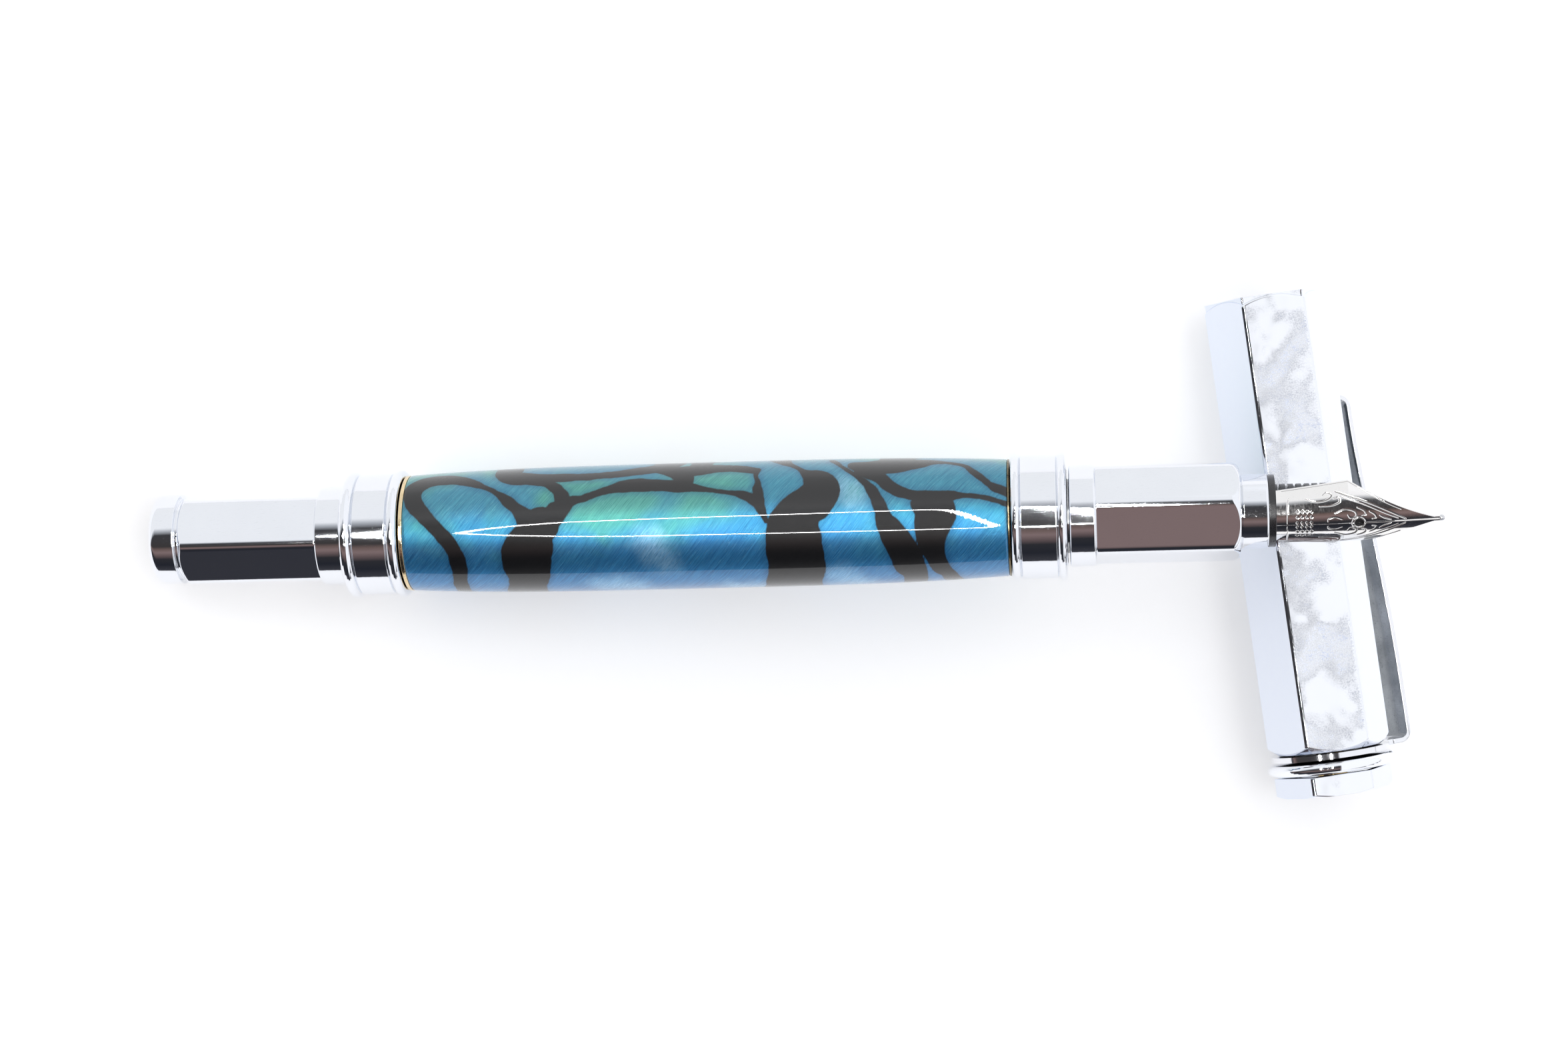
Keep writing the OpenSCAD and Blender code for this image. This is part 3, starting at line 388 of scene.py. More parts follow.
def resin_material():
    """Turquoise and blue pearl under clear gloss, black where the swirl distance is negative, with painted
    shade along one side and painted highlight in the pale clouds.
    """
    n = Nodes("resin")
    d = n.attribute("swirl")
    twist = n.attribute("twist", "Vector")
    place = n.attribute("place", "Vector")
    parts = n.node("SeparateXYZ", out=1, Vector=place)
    wobble = n.noise(place, 0.55, 2.0, 0.5)
    edge = n.math("ADD", d, n.math("MULTIPLY", n.math("SUBTRACT", wobble, 0.5), 0.5))
    ink = n.smooth(edge, -0.09, 0.1, 1.0, 0.0)
    halo = n.smooth(edge, 0.0, 0.9, 1.0, 0.0)
    cloud = n.noise(place, 0.16, 3.0, 0.5, 0.6)
    streak = n.noise(n.node("Mapping", Vector=twist, Scale=(5.2, 5.2, 0.55)), 1.0, 3.0, 0.6)
    shimmer = n.noise(n.node("Mapping", Vector=twist, Scale=(12.0, 12.0, 1.6)), 1.0, 4.0, 0.75)
    flake = n.node("TexVoronoi", Vector=place, Scale=7.0)
    # Painted shade: the resin is laid deeper blue on the low-y side and teal on the other, for the dark
    # room reflected along one side; the blue and teal tones are the resin's own.
    low = n.smooth(n.math("ADD", parts, n.math("MULTIPLY", n.math("SUBTRACT", cloud, 0.5), 9.0)), -4.5, 2.5)
    teal = n.mix(n.ramp(streak, 0.3, 0.7), (0.024, 0.17, 0.28), (0.060, 0.31, 0.42))
    blue = n.mix(n.ramp(streak, 0.3, 0.7), (0.018, 0.14, 0.36), (0.05, 0.29, 0.60))
    green = n.mix(n.ramp(streak, 0.3, 0.7), (0.045, 0.24, 0.22), (0.10, 0.40, 0.34))
    teal = n.mix(n.smooth(n.noise(place, 0.1, 2.0, 0.5), 0.45, 0.62), teal, green)
    tint = n.mix(low, blue, teal)
    tint = n.mix(n.smooth(shimmer, 0.54, 0.76, 0.0, 0.4), tint, (0.32, 0.72, 0.74))
    tint = n.mix(n.smooth(flake, 0.0, 0.12, 0.35, 0.0), tint, (0.75, 0.93, 0.97))
    tint = n.mix(n.math("MULTIPLY", halo, 0.35), tint, (0.01, 0.08, 0.20))
    # Painted highlight: the pale clouds lighten the base colour towards pale blue, partly the pearl's own
    # pale patches.
    pale = n.math("ADD", n.attribute("cloud"), n.math("MULTIPLY", n.math("SUBTRACT", wobble, 0.5), 2.2))
    pearl = n.math("MULTIPLY", n.smooth(pale, -0.8, 2.4, 0.75, 0.0), n.ramp(shimmer, 0.3, 0.65))
    tint = n.mix(pearl, tint, (0.42, 0.74, 0.98))
    relief = n.math("ADD", n.math("MULTIPLY", shimmer, 0.8), n.math("MULTIPLY", streak, 0.6))
    n.set(
        Base_Color=n.mix(ink, tint, (0.004, 0.004, 0.005)),
        Metallic=n.math("MULTIPLY", n.math("SUBTRACT", 1.0, ink), 0.62),
        Roughness=n.math("ADD", n.math("MULTIPLY", shimmer, 0.2), 0.26),
        Normal=n.bump(relief, 0.35, 0.00006),
        Specular_IOR_Level=0.25,
        Coat_Weight=1.0,
        Coat_Roughness=0.012,
        Coat_IOR=1.5,
        IOR=1.45,
    )
    wave = n.noise(n.node("Mapping", Vector=place, Scale=(2.2, 0.9, 0.9)), 1.0, 2.0, 0.5)
    n.put(n.b.inputs["Coat Normal"], n.bump(wave, 0.04, 0.00003))
    return n.m


def nib_material():
    """Brushed steel, with painted shade darkening the engraved lines."""
    n = Nodes("nib_steel")
    cut = n.attribute("cut")
    c = n.coords(scale=(9000, 1800, 9000), turn=turn_of(pen))
    fine = n.noise(c, 1.0, 4.0, 0.6)
    cloud = n.noise(n.coords(), 420.0, 3.0, 0.5)
    brushed = n.math("MULTIPLY", n.smooth(fine, 0.55, 0.75), 0.25)
    tarnish = n.math("ADD", brushed, n.math("MULTIPLY", cloud, 0.2))
    plain = n.mix(tarnish, (0.90, 0.89, 0.88), (0.62, 0.60, 0.58))
    n.set(
        Metallic=1.0,
        # Painted shade: the base colour darkens where the cut attribute marks an engraved groove.
        Base_Color=n.mix(n.smooth(cut, 0.15, 0.9), plain, (0.17, 0.165, 0.16)),
        Roughness=n.math("ADD", n.smooth(cut, 0.1, 0.9, 0.0, 0.3), n.ramp(fine, 0.4, 0.8, 0.05, 0.13)),
        Normal=n.bump(fine, 0.05, 0.00001),
    )
    return n.m


resin = resin_material()
nib_steel = nib_material()

# ---------- turned and hexagonal pieces of the pen ----------
PRESS = 0.02
BEAD_FULL = 0.8


def bead_points(p, q, r, n=14):
    mid = (q - p) / 2
    bulge = mid * BEAD_FULL
    turn = np.radians(np.linspace(-84, 84, n))
    return [(p + mid + bulge * math.sin(t), r - bulge + bulge * math.cos(t)) for t in turn]


def build_rear_end():
    a0, a1 = span("rear_end_cap")
    a_post, post_end = span("rear_post")
    a_step = span("rear_coupler")[0]
    r = reach("rear_end_cap")
    groove_r, groove_len = r - 0.5, 0.4
    spigot_r, spigot_wall = 3.0, 1.0
    edge = 0.9
    magnet_end = a_post + 1.25
    quarter = np.linspace(0, np.pi / 2, 12)
    arc = [(edge - edge * math.cos(t), r - edge + edge * math.sin(t)) for t in quarter]
    groove = a_post - groove_len
    spigot = spigot_r - 0.01
    profile = [(a0, 0.02), (a0, 0.5 * r)] + arc
    profile += [(groove, r), (groove, groove_r), (a_post, groove_r), (a_post, spigot)]
    profile += [(a1, spigot), (a1, spigot_r - spigot_wall), (magnet_end, spigot_r - spigot_wall)]
    profile += [(magnet_end, 0.02)]
    ob = turned("rear_end", profile, "barrel", pen, chrome, 0.07, closed=False)
    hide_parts("rear_end_cap")
    corner, roll = 1.1, -20.0
    side = reach("rear_post") + corner / COS30 - corner
    base, angles = hex_angles(roll)
    ones = np.ones(len(base))
    hexa = hex_radius(base, side, corner)
    flat = float(hexa.min())
    # The back end is turned down to a disc, and the front end is slightly broken at its corners.
    rim_a = [a_post, a_post + 1.1, a_step - 0.4, a_step]
    rim_r = [flat - 0.1, side + 0.6, side + 0.6, side - 0.15]
    stations = np.concatenate([np.linspace(a_post + 0.1, a_post + 1.6, 24),
                               np.linspace(a_post + 2.2, a_step - 0.9, 16),
                               np.linspace(a_step - 0.6, a_step, 14)])
    rings = [(a_post, spigot_r + PRESS), (a_post, (flat - 0.16) * ones)]
    rings += [(a_post + 0.03, (flat - 0.1) * ones)]
    rings += [(a, soft_min(hexa, np.interp(a, rim_a, rim_r) * ones, 0.14)) for a in stations]
    rings += [(a_step, 3.4), (a_step, spigot_r + PRESS)]
    ob = sweep("rear_post_hex", rings, angles, "barrel", pen, chrome, closed=True)
    core = a_post + 4.4
    profile = [(core, 0.03), (core, spigot_r + 0.01), (post_end, spigot_r), (post_end, 0.03)]
    front = turned("rear_post_spigot", profile, "barrel", pen, chrome, 0.06, closed=False)
    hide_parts("rear_post")


def turned_ring(name, node, inner, material, radius):
    """A plain ring in place of a CAD ring, over the given inner radius."""
    lo, hi = span(node)
    outer = reach(node)
    profile = [(lo, inner), (lo, outer), (hi, outer), (hi, inner)]
    ob = turned(name, profile, "barrel", pen, material, radius)
    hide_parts(node)


def build_couplers():
    s0, s1 = span("rear_coupler")
    bead_r = reach("rear_coupler")
    step_r, band_r = 5.54, bead_r - 0.28
    a_bead = s0 + 2.75
    a_band = a_bead + 1.75
    a_bead2 = a_band + 3.55
    a_trim = a_bead2 + 1.5
    sleeve = float(stations_radii("rear_trim_ring")[1].min()) - PRESS
    a, r = stations_radii("rear_coupler")
    bore = float(r[a > s1 - 0.5].min())
    spigot_r, spigot_end, cavity = 3.0 + PRESS, s0 + 1.7, s0 + 2.15
    profile = [(s0, spigot_r), (s0, step_r - 0.15), (s0 + 0.15, step_r), (a_bead, step_r)]
    profile += bead_points(a_bead, a_band, bead_r)
    profile += [(a_band, band_r), (a_bead2, band_r)]
    profile += bead_points(a_bead2, a_trim, bead_r)
    profile += [(a_trim, sleeve), (s1, sleeve), (s1, bore), (cavity, bore), (cavity, 0.3)]
    profile += [(spigot_end, 0.3), (spigot_end, spigot_r)]
    ob = turned("rear_coupler_turned", profile, "barrel", pen, chrome, 0.06)
    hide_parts("rear_coupler")
    turned_ring("rear_trim", "rear_trim_ring", sleeve + PRESS, gold, 0.05)
    turned_ring("front_trim", "front_trim_ring", sleeve + PRESS, dark_gold, 0.04)
    f0, f1 = span("front_coupler")
    a, r = stations_radii("front_coupler")
    sleeve_r = float(r[a < f0 + 0.3].max())
    inner = float(r[a < f0 + 0.3].min())
    mouth = float(r[a > f1 - 0.02].min())
    seal_at = float(a[np.abs(r - mouth) < 0.03].min())
    bead_len = 1.22
    a_bead = span("front_trim_ring")[1]
    a_band, a_bead2 = a_bead + bead_len, f1 - bead_len
    profile = [(f0, inner), (f0, sleeve_r), (a_bead, sleeve_r)]
    profile += bead_points(a_bead, a_band, bead_r - 0.1)
    profile += [(a_band, band_r), (a_bead2, band_r)]
    profile += bead_points(a_bead2, f1, bead_r)
    profile += [(f1, mouth), (seal_at, mouth), (seal_at, inner)]
    ob = turned("front_coupler_turned", profile, "barrel", pen, chrome, 0.06)
    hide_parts("front_coupler")


# Black swirls in the resin. Each is a line of (station along the barrel in mm, angle from the top in
# degrees, half width in mm).
SWIRLS = [
    [(5.8, -120, 0.9), (5.9, -90, 0.8), (5.9, -60, 0.8), (6.1, -37, 0.95), (5.8, -20, 0.9),
     (4.8, -6, 0.85), (3.3, 9, 0.8), (1.7, 24, 0.95), (1.1, 36, 1.05), (1.2, 47, 1.1), (2.2, 57, 1.15),
     (3.6, 61, 1.15), (5.2, 60, 1), (7, 54, 0.75), (8.8, 46, 0.45), (10.3, 38, 0.4), (11.7, 28, 0.6),
     (12.8, 19, 0.7), (14, 8, 1.2)],
    [(13, -120, 2.2), (12.8, -90, 2.3), (13.3, -60, 2.1), (13.6, -48, 2.25), (13.6, -30, 2.7),
     (13.9, -18, 2.7), (14.6, -6, 2.1), (15, 0, 2), (15.4, 4, 2)],
    [(16.4, 8, 1.2), (17.6, 18, 0.9), (17.7, 28, 0.9), (17.1, 38, 0.7), (15.8, 47, 0.6), (13.7, 53, 0.85),
     (11.8, 57, 1.15), (11.4, 66, 1.5), (11.4, 76, 1.5), (11, 95, 1.4), (10.5, 120, 1.5)],
    [(12.5, 60, 1), (15, 56.5, 0.8), (18, 54.5, 0.75), (21, 55, 0.65), (23.5, 58, 0.7), (26, 63, 0.9),
     (28, 68, 1.2), (29, 78, 1.6), (29, 95, 2), (30, 120, 2)],
    [(28, 68, 1.2), (30, 58, 1.2), (30.9, 48, 1), (31.1, 40, 0.8)],
    [(17.2, 17, 1.2), (18.6, 25.5, 0.66), (20, 28, 0.5), (21.3, 33, 0.45), (23.3, 38, 0.67),
     (25.3, 41, 0.93), (28.3, 40, 0.85), (30.8, 38, 0.75), (33, 34.5, 0.35), (34.5, 32, 0.3),
     (36.4, 29.5, 0.28), (37.8, 26, 0.6), (38.9, 20, 0.6), (39.6, 10, 0.35), (39.9, 2, 0.25)],
    [(38.7, 57, 0.5), (38.7, 48, 0.3), (38.95, 40, 0.35), (39, 30, 0.6), (39.3, 16, 0.4)],
    [(31, 60, 1.2), (33, 62, 1.1), (35, 63, 0.9), (37, 61, 0.75), (38.6, 56, 0.6)],
    [(32.4, 66, 1.2), (32.6, 76, 1.2), (32.6, 95, 1.4)],
    [(41, -120, 3), (42, -90, 3.1), (42.6, -60, 3), (42.9, -45, 3.1), (42.9, -25, 3.1), (42.7, -8, 2.9),
     (43, 2, 2.6), (43.7, 11, 2.2), (45, 20, 2.2), (45.8, 30, 2.1), (45.5, 40, 1.7), (44.7, 46, 1),
     (43.7, 54, 0.45), (42.6, 64, 0.35), (41.7, 72, 0.7), (41, 85, 1.1), (40.5, 120, 1.3)],
    [(46.8, 76, 0.3), (47.6, 64, 0.3), (48.8, 52, 0.28), (50.3, 40, 0.35), (51.2, 30, 0.6),
     (51.8, 20, 0.65), (52.3, 10, 0.75), (52.7, 0, 1), (53.4, -10, 1.4), (54.1, -22, 1.6),
     (54.8, -34, 1.7), (55.2, -48, 1.7), (55.6, -60, 1.4), (55.5, -90, 1.2), (55, -120, 1.2)],
    [(49.4, 62, 0.9), (50.6, 59, 1.3), (52.4, 61, 1.6), (54, 62, 1.5), (55.8, 65, 1.3), (57.4, 67, 0.8),
     (59, 66, 0.45), (60.3, 63.5, 0.35), (61.3, 59, 0.35), (62.1, 50, 0.4), (63, 42, 0.42),
     (63.9, 34, 0.42), (65, 28, 0.6), (66.2, 24, 0.7)],
    [(53.5, 72, 1.6), (54.5, 90, 2), (57, 120, 1.3)],
    [(50.4, 52, 1), (52.2, 42, 0.8), (53.5, 31, 0.75), (55.2, 24.5, 0.6), (57, 21, 0.8), (59, 21.5, 0.7),
     (61, 22.5, 0.3), (63, 20.5, 0.25), (64.5, 17, 0.3), (66.5, 11, 0.45)],
    [(56.6, 14, 1.2), (58, 8, 2.2), (57.8, -2, 2), (57.6, -12, 1.7), (57.6, -24, 1.4), (57.9, -36, 1.1),
     (58.4, -50, 1), (59.3, -65, 0.9), (60, -90, 0.9), (60.5, -120, 0.8)],
    [(5.8, -118, 0.9), (8, -145, 1.3), (12, -160, 1.1), (17, -178, 1.3), (20, -200, 1.6), (15, -220, 1.1),
     (10.5, -240, 1.5)],
    [(41, -118, 3), (36, -140, 1.6), (31, -160, 0.9), (27, -185, 1.3), (28, -215, 1.7), (30, -240, 2)],
    [(55, -118, 1.2), (52, -145, 0.8), (49, -175, 1.6), (45, -205, 0.8), (40.5, -240, 1.3)],
    [(60.5, -118, 0.8), (62, -145, 0.7), (59.5, -180, 1.2), (57, -215, 1), (57, -240, 1.3)],
    [(13, -118, 2.2), (19, -150, 0.7), (25, -140, 0.5), (33, -128, 0.7), (40, -110, 1)],
]


# Pale clouds in the resin, given the same way. They are partly the pearl's own pale patches and partly
# painted highlight, standing in for white-blue highlights on the lower side.
PALE_CLOUDS_AND_PAINTED_HIGHLIGHTS = [
    [(21.5, -64, 0.5), (23.8, -66, 0.9), (25.2, -68, 0.4)],
    [(26.8, -12, 0.4), (28.2, -26, 0.5), (28.8, -36, 0.3)],
    [(47.6, -56, 0.5), (48.6, -68, 0.9), (49.6, -76, 0.5)],
    [(48.2, 34, 0.3), (49.3, 26, 0.35)],
    [(36, -75, 0.3), (39, -82, 0.5)],
    [(18, 178, 0.8), (24, 196, 0.6)],
    [(50, 150, 0.7), (53, 165, 0.5)],
]


def curve_through(points, per=6):
    """A smooth curve through the points, with the same number of steps between each two."""
    p = np.array(points, float)
    p = np.vstack([2 * p[0] - p[1], p, 2 * p[-1] - p[-2]])
    out = []
    for i in range(1, len(p) - 2):
        a, b, c, d = p[i - 1:i + 3]
        for k in range(per):
            t = k / per
            square = (2 * a - 5 * b + 4 * c - d) * t**2
            cube = (3 * b - a - 3 * c + d) * t**3
            out.append(0.5 * (2 * b + (c - a) * t + square + cube))
    out.append(p[-2])
    return np.array(out)


def stroke_distance(x, y, lines, mm_x=1.0, mm_y=1.0, wrap=None, start=9.0):
    """Signed distance from each point to the nearest of the strokes, negative inside."""
    best = np.full(x.shape, start)
    for line in lines:
        c = curve_through(line)
        for p, q in zip(c[:-1], c[1:]):
            shifts = [0.0] if wrap is None else [-wrap, 0.0, wrap]
            for s in shifts:
                ax, ay = p[0] * mm_x, (p[1] + s) * mm_y
                bx, by = q[0] * mm_x - ax, (q[1] + s) * mm_y - ay
                gx, gy = x * mm_x - ax, y * mm_y - ay
                t = np.clip((gx * bx + gy * by) / (bx * bx + by * by + 1e-12), 0, 1)
                d = np.hypot(gx - t * bx, gy - t * by) - (p[2] + (q[2] - p[2]) * t)
                best = np.minimum(best, d)
    return best


def build_barrel():
    lo, hi = span("resin_barrel")
    length = hi - lo
    end_r = reach("rear_trim_ring")
    rise = reach("resin_barrel") - end_r
    inner = float(stations_radii("resin_barrel")[1].min())
    rows, cols = 340, 360
    s = np.linspace(0, 1, rows)
    angles = np.linspace(0, 2 * np.pi, cols, endpoint=False)
    swell_power, edge = 3.5, 0.06
    r = end_r + rise * (1 - np.abs(2 * s - 1) ** swell_power)
    for from_end in (s * length, (1 - s) * length):
        r = r - edge * np.clip(1 - from_end / edge, 0, 1) ** 2
    xs, ph = np.meshgrid(s * length, np.degrees(angles), indexing="ij")
    ph = (ph + 180) % 360 - 180
    mm_per_degree = math.radians(1) * (end_r + rise)
    d = stroke_distance(xs, ph, SWIRLS, 1.0, mm_per_degree, 360.0, 4.0)
    # Distance to the pale clouds, which carry painted highlight into the resin's base colour.
    cloud = stroke_distance(xs, ph, PALE_CLOUDS_AND_PAINTED_HIGHLIGHTS, 1.0, mm_per_degree, 360.0, 6.0)
    rings = [(lo + length * k, rr) for k, rr in zip(s, r)] + [(hi, inner), (lo, inner)]
    twist_length = 5.3
    turn = np.radians(ph) - xs / twist_length
    rr = np.broadcast_to(r[:, None], xs.shape)
    twist = np.stack([rr * np.cos(turn), rr * np.sin(turn), xs], -1).reshape(-1, 3)
    place = np.stack([xs, rr * np.sin(np.radians(ph)), rr * np.cos(np.radians(ph))], -1).reshape(-1, 3)
    back = np.zeros((2 * cols, 3))
    ob = sweep("resin_barrel_turned", rings, angles, "barrel", pen, resin, closed=True, attributes={
        "swirl": np.concatenate([d.ravel(), np.full(2 * cols, 2.0)]),
        "cloud": np.concatenate([cloud.ravel(), np.full(2 * cols, 6.0)]),
        "twist": np.concatenate([twist, back]), "place": np.concatenate([place, back])})
    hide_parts("resin_barrel")


def build_grip():
    g0, g1 = span("grip_section")
    a, r = stations_radii("grip_section")
    a_grip = g0 + 2.85
    a_ring = g1 - 3.05
    nose_r = float(r[a > g1 - 0.8].max())
    bore = float(r[a > g1 - 0.05].min())
    step_r = float(r[a < a_grip - 0.3].max())
    back_bore = float(r[a < g0 + 0.05].min())
    tenon_end = float(a[np.abs(r - back_bore) < 0.02].max())
    corner, roll = 1.1, 16.3
    side = float(r[a > a_grip + 0.05].max()) + corner / COS30 - corner
    base, angles = hex_angles(roll)
    hexa = hex_radius(base, side, corner)
    ones = np.ones(len(base))

    def round_rings(pairs):
        return [(at, radius * ones) for at, radius in pairs]

    rings = round_rings([
        (g0, back_bore), (g0, step_r - 0.2), (g0 + 0.05, step_r - 0.08), (g0 + 0.15, step_r),
        (g0 + 0.2, step_r), (a_grip - 0.25, step_r), (a_grip - 0.15, step_r),
        (a_grip - 0.05, step_r - 0.08), (a_grip, step_r - 0.16)])
    # The shoulder at the nose end is turned, so the flats end in arcs.
    shoulder = 2.4
    mid_a, mid_r = a_ring - 1.9, side + 0.2 - shoulder
    turn = np.radians(np.linspace(0, 62, 14))
    arc = [(mid_a + shoulder * math.sin(t), mid_r + shoulder * math.cos(t)) for t in turn]
    rim_a = [a_grip, a_grip + 0.3, arc[0][0] - 0.3] + [q[0] for q in arc] + [a_ring + 0.02]
    rim_r = [step_r - 0.16, side + 0.4, side + 0.4] + [q[1] for q in arc] + [nose_r - 0.3]
    stations = np.concatenate([np.linspace(a_grip + 0.02, a_grip + 0.5, 14),
                               np.linspace(a_grip + 0.8, a_ring - 2.4, 20),
                               np.linspace(a_ring - 2.2, a_ring, 34)])
    rings += [(at, soft_min(hexa, np.interp(at, rim_a, rim_r) * ones, 0.2)) for at in stations]
    rings += round_rings([
        (a_ring, nose_r - 0.15), (a_ring + 0.15, nose_r - 0.13), (a_ring + 0.2, nose_r - 0.06),
        (a_ring + 0.3, nose_r), (a_ring + 0.4, nose_r), (g1 - 0.3, nose_r), (g1 - 0.15, nose_r),
        (g1 - 0.04, nose_r - 0.05), (g1, nose_r - 0.12), (g1, bore), (tenon_end, bore),
        (tenon_end, back_bore)])
    ob = sweep("grip_hex", rings, angles, "section", pen, chrome, closed=True)
    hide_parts("grip_section")


def build_nose_ring():
    lo, hi = span("nose_magnet_ring")
    r = stations_radii("nose_magnet_ring")[1]
    inner, outer = float(r.min()), float(r.max())
    profile = [(lo, inner), (lo, outer), (hi, outer), (hi, inner)]
    ob = turned("nose_magnet", profile, "section", pen, nose_black, 0.06)
    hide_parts("nose_magnet_ring")


def build_thread():
    """The tenon with its helix: 0.9 mm from turn to turn, run out at both ends."""
    lead, depth, step = 0.9, 0.3, 0.06
    t0, t1 = span("section_tenon")
    thread_end = span("grip_section")[0] - 0.5
    r = stations_radii("section_tenon")[1]
    major, inner = float(r.max()), float(r.min())
    angles = np.linspace(0, 2 * np.pi, 96, endpoint=False)
    ones = np.ones(len(angles))
    rings = [(t0, inner * ones), (t0, (major - 0.4) * ones)]
    for a in np.arange(t0 + 0.15, thread_end, step):
        turnwise = ((a - t0) / lead - angles / (2 * np.pi)) % 1.0
        cut = depth * np.clip(1.6 * np.abs(2 * turnwise - 1) - 0.35, 0, 1)
        fade = np.clip(min((a - t0) / lead, (thread_end - a) / 0.6), 0, 1)
        rings.append((a, major - depth * (1 - fade) - cut * fade))
    root = (major - depth) * ones
    rings += [(thread_end + 0.05, root), (t1, root), (t1, inner * ones)]
    ob = sweep("section_thread", rings, angles, "section", pen, steel, closed=True)
    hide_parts("section_tenon")


# ---------- nib ----------
NIB = {"r": 3.2, "flare": 0.55, "open": 0.12, "shoulder": 7.7, "drop": 0.7, "thick": 0.25}
NIB_ROLL = math.radians(30.4)
# Engraved lines of the nib's ornament: (distance from the section in mm, distance from the slit in mm,
# half width in mm).
SCROLLS = [
    [(6.3, 3.6, 0.07), (7.2, 3.2, 0.07), (9.2, 2.45, 0.06), (11.6, 1.35, 0.06), (13.7, 0.25, 0.05)],
    [(6.9, 2.95, 0.03), (9.2, 2.1, 0.03), (11.4, 1.05, 0.03), (12.9, 0.36, 0.03)],
    [(3.0, 2.9, 0.03), (4.2, 2.5, 0.05), (5.4, 2.7, 0.07), (5.9, 3.2, 0.06), (5.3, 3.5, 0.04),
     (4.9, 3.2, 0.03)],
    [(4.6, 2.0, 0.03), (5.8, 2.05, 0.06), (6.7, 2.4, 0.06), (6.6, 2.9, 0.05), (6.1, 2.8, 0.03)],
    [(6.2, 1.2, 0.03), (7.3, 1.6, 0.06), (8.3, 1.35, 0.07), (8.5, 0.8, 0.06), (7.9, 0.6, 0.05),
     (7.6, 0.95, 0.03)],
    [(8.6, 1.75, 0.03), (9.3, 1.4, 0.07), (9.5, 0.95, 0.05), (9.1, 0.8, 0.03)],
    [(9.9, 1.25, 0.03), (10.4, 0.95, 0.06), (10.6, 0.55, 0.04), (10.2, 0.42, 0.03)],
    [(11.0, 0.75, 0.03), (11.5, 0.45, 0.05), (12.2, 0.2, 0.03)],
    [(7.0, 0.5, 0.03), (6.3, 0.75, 0.05), (5.6, 0.6, 0.05), (5.5, 0.3, 0.03)],
    [(1.2, 0.2, 0.03), (1.2, 1.2, 0.03), (1.2, 2.2, 0.03), (1.3, 2.9, 0.03)],
]


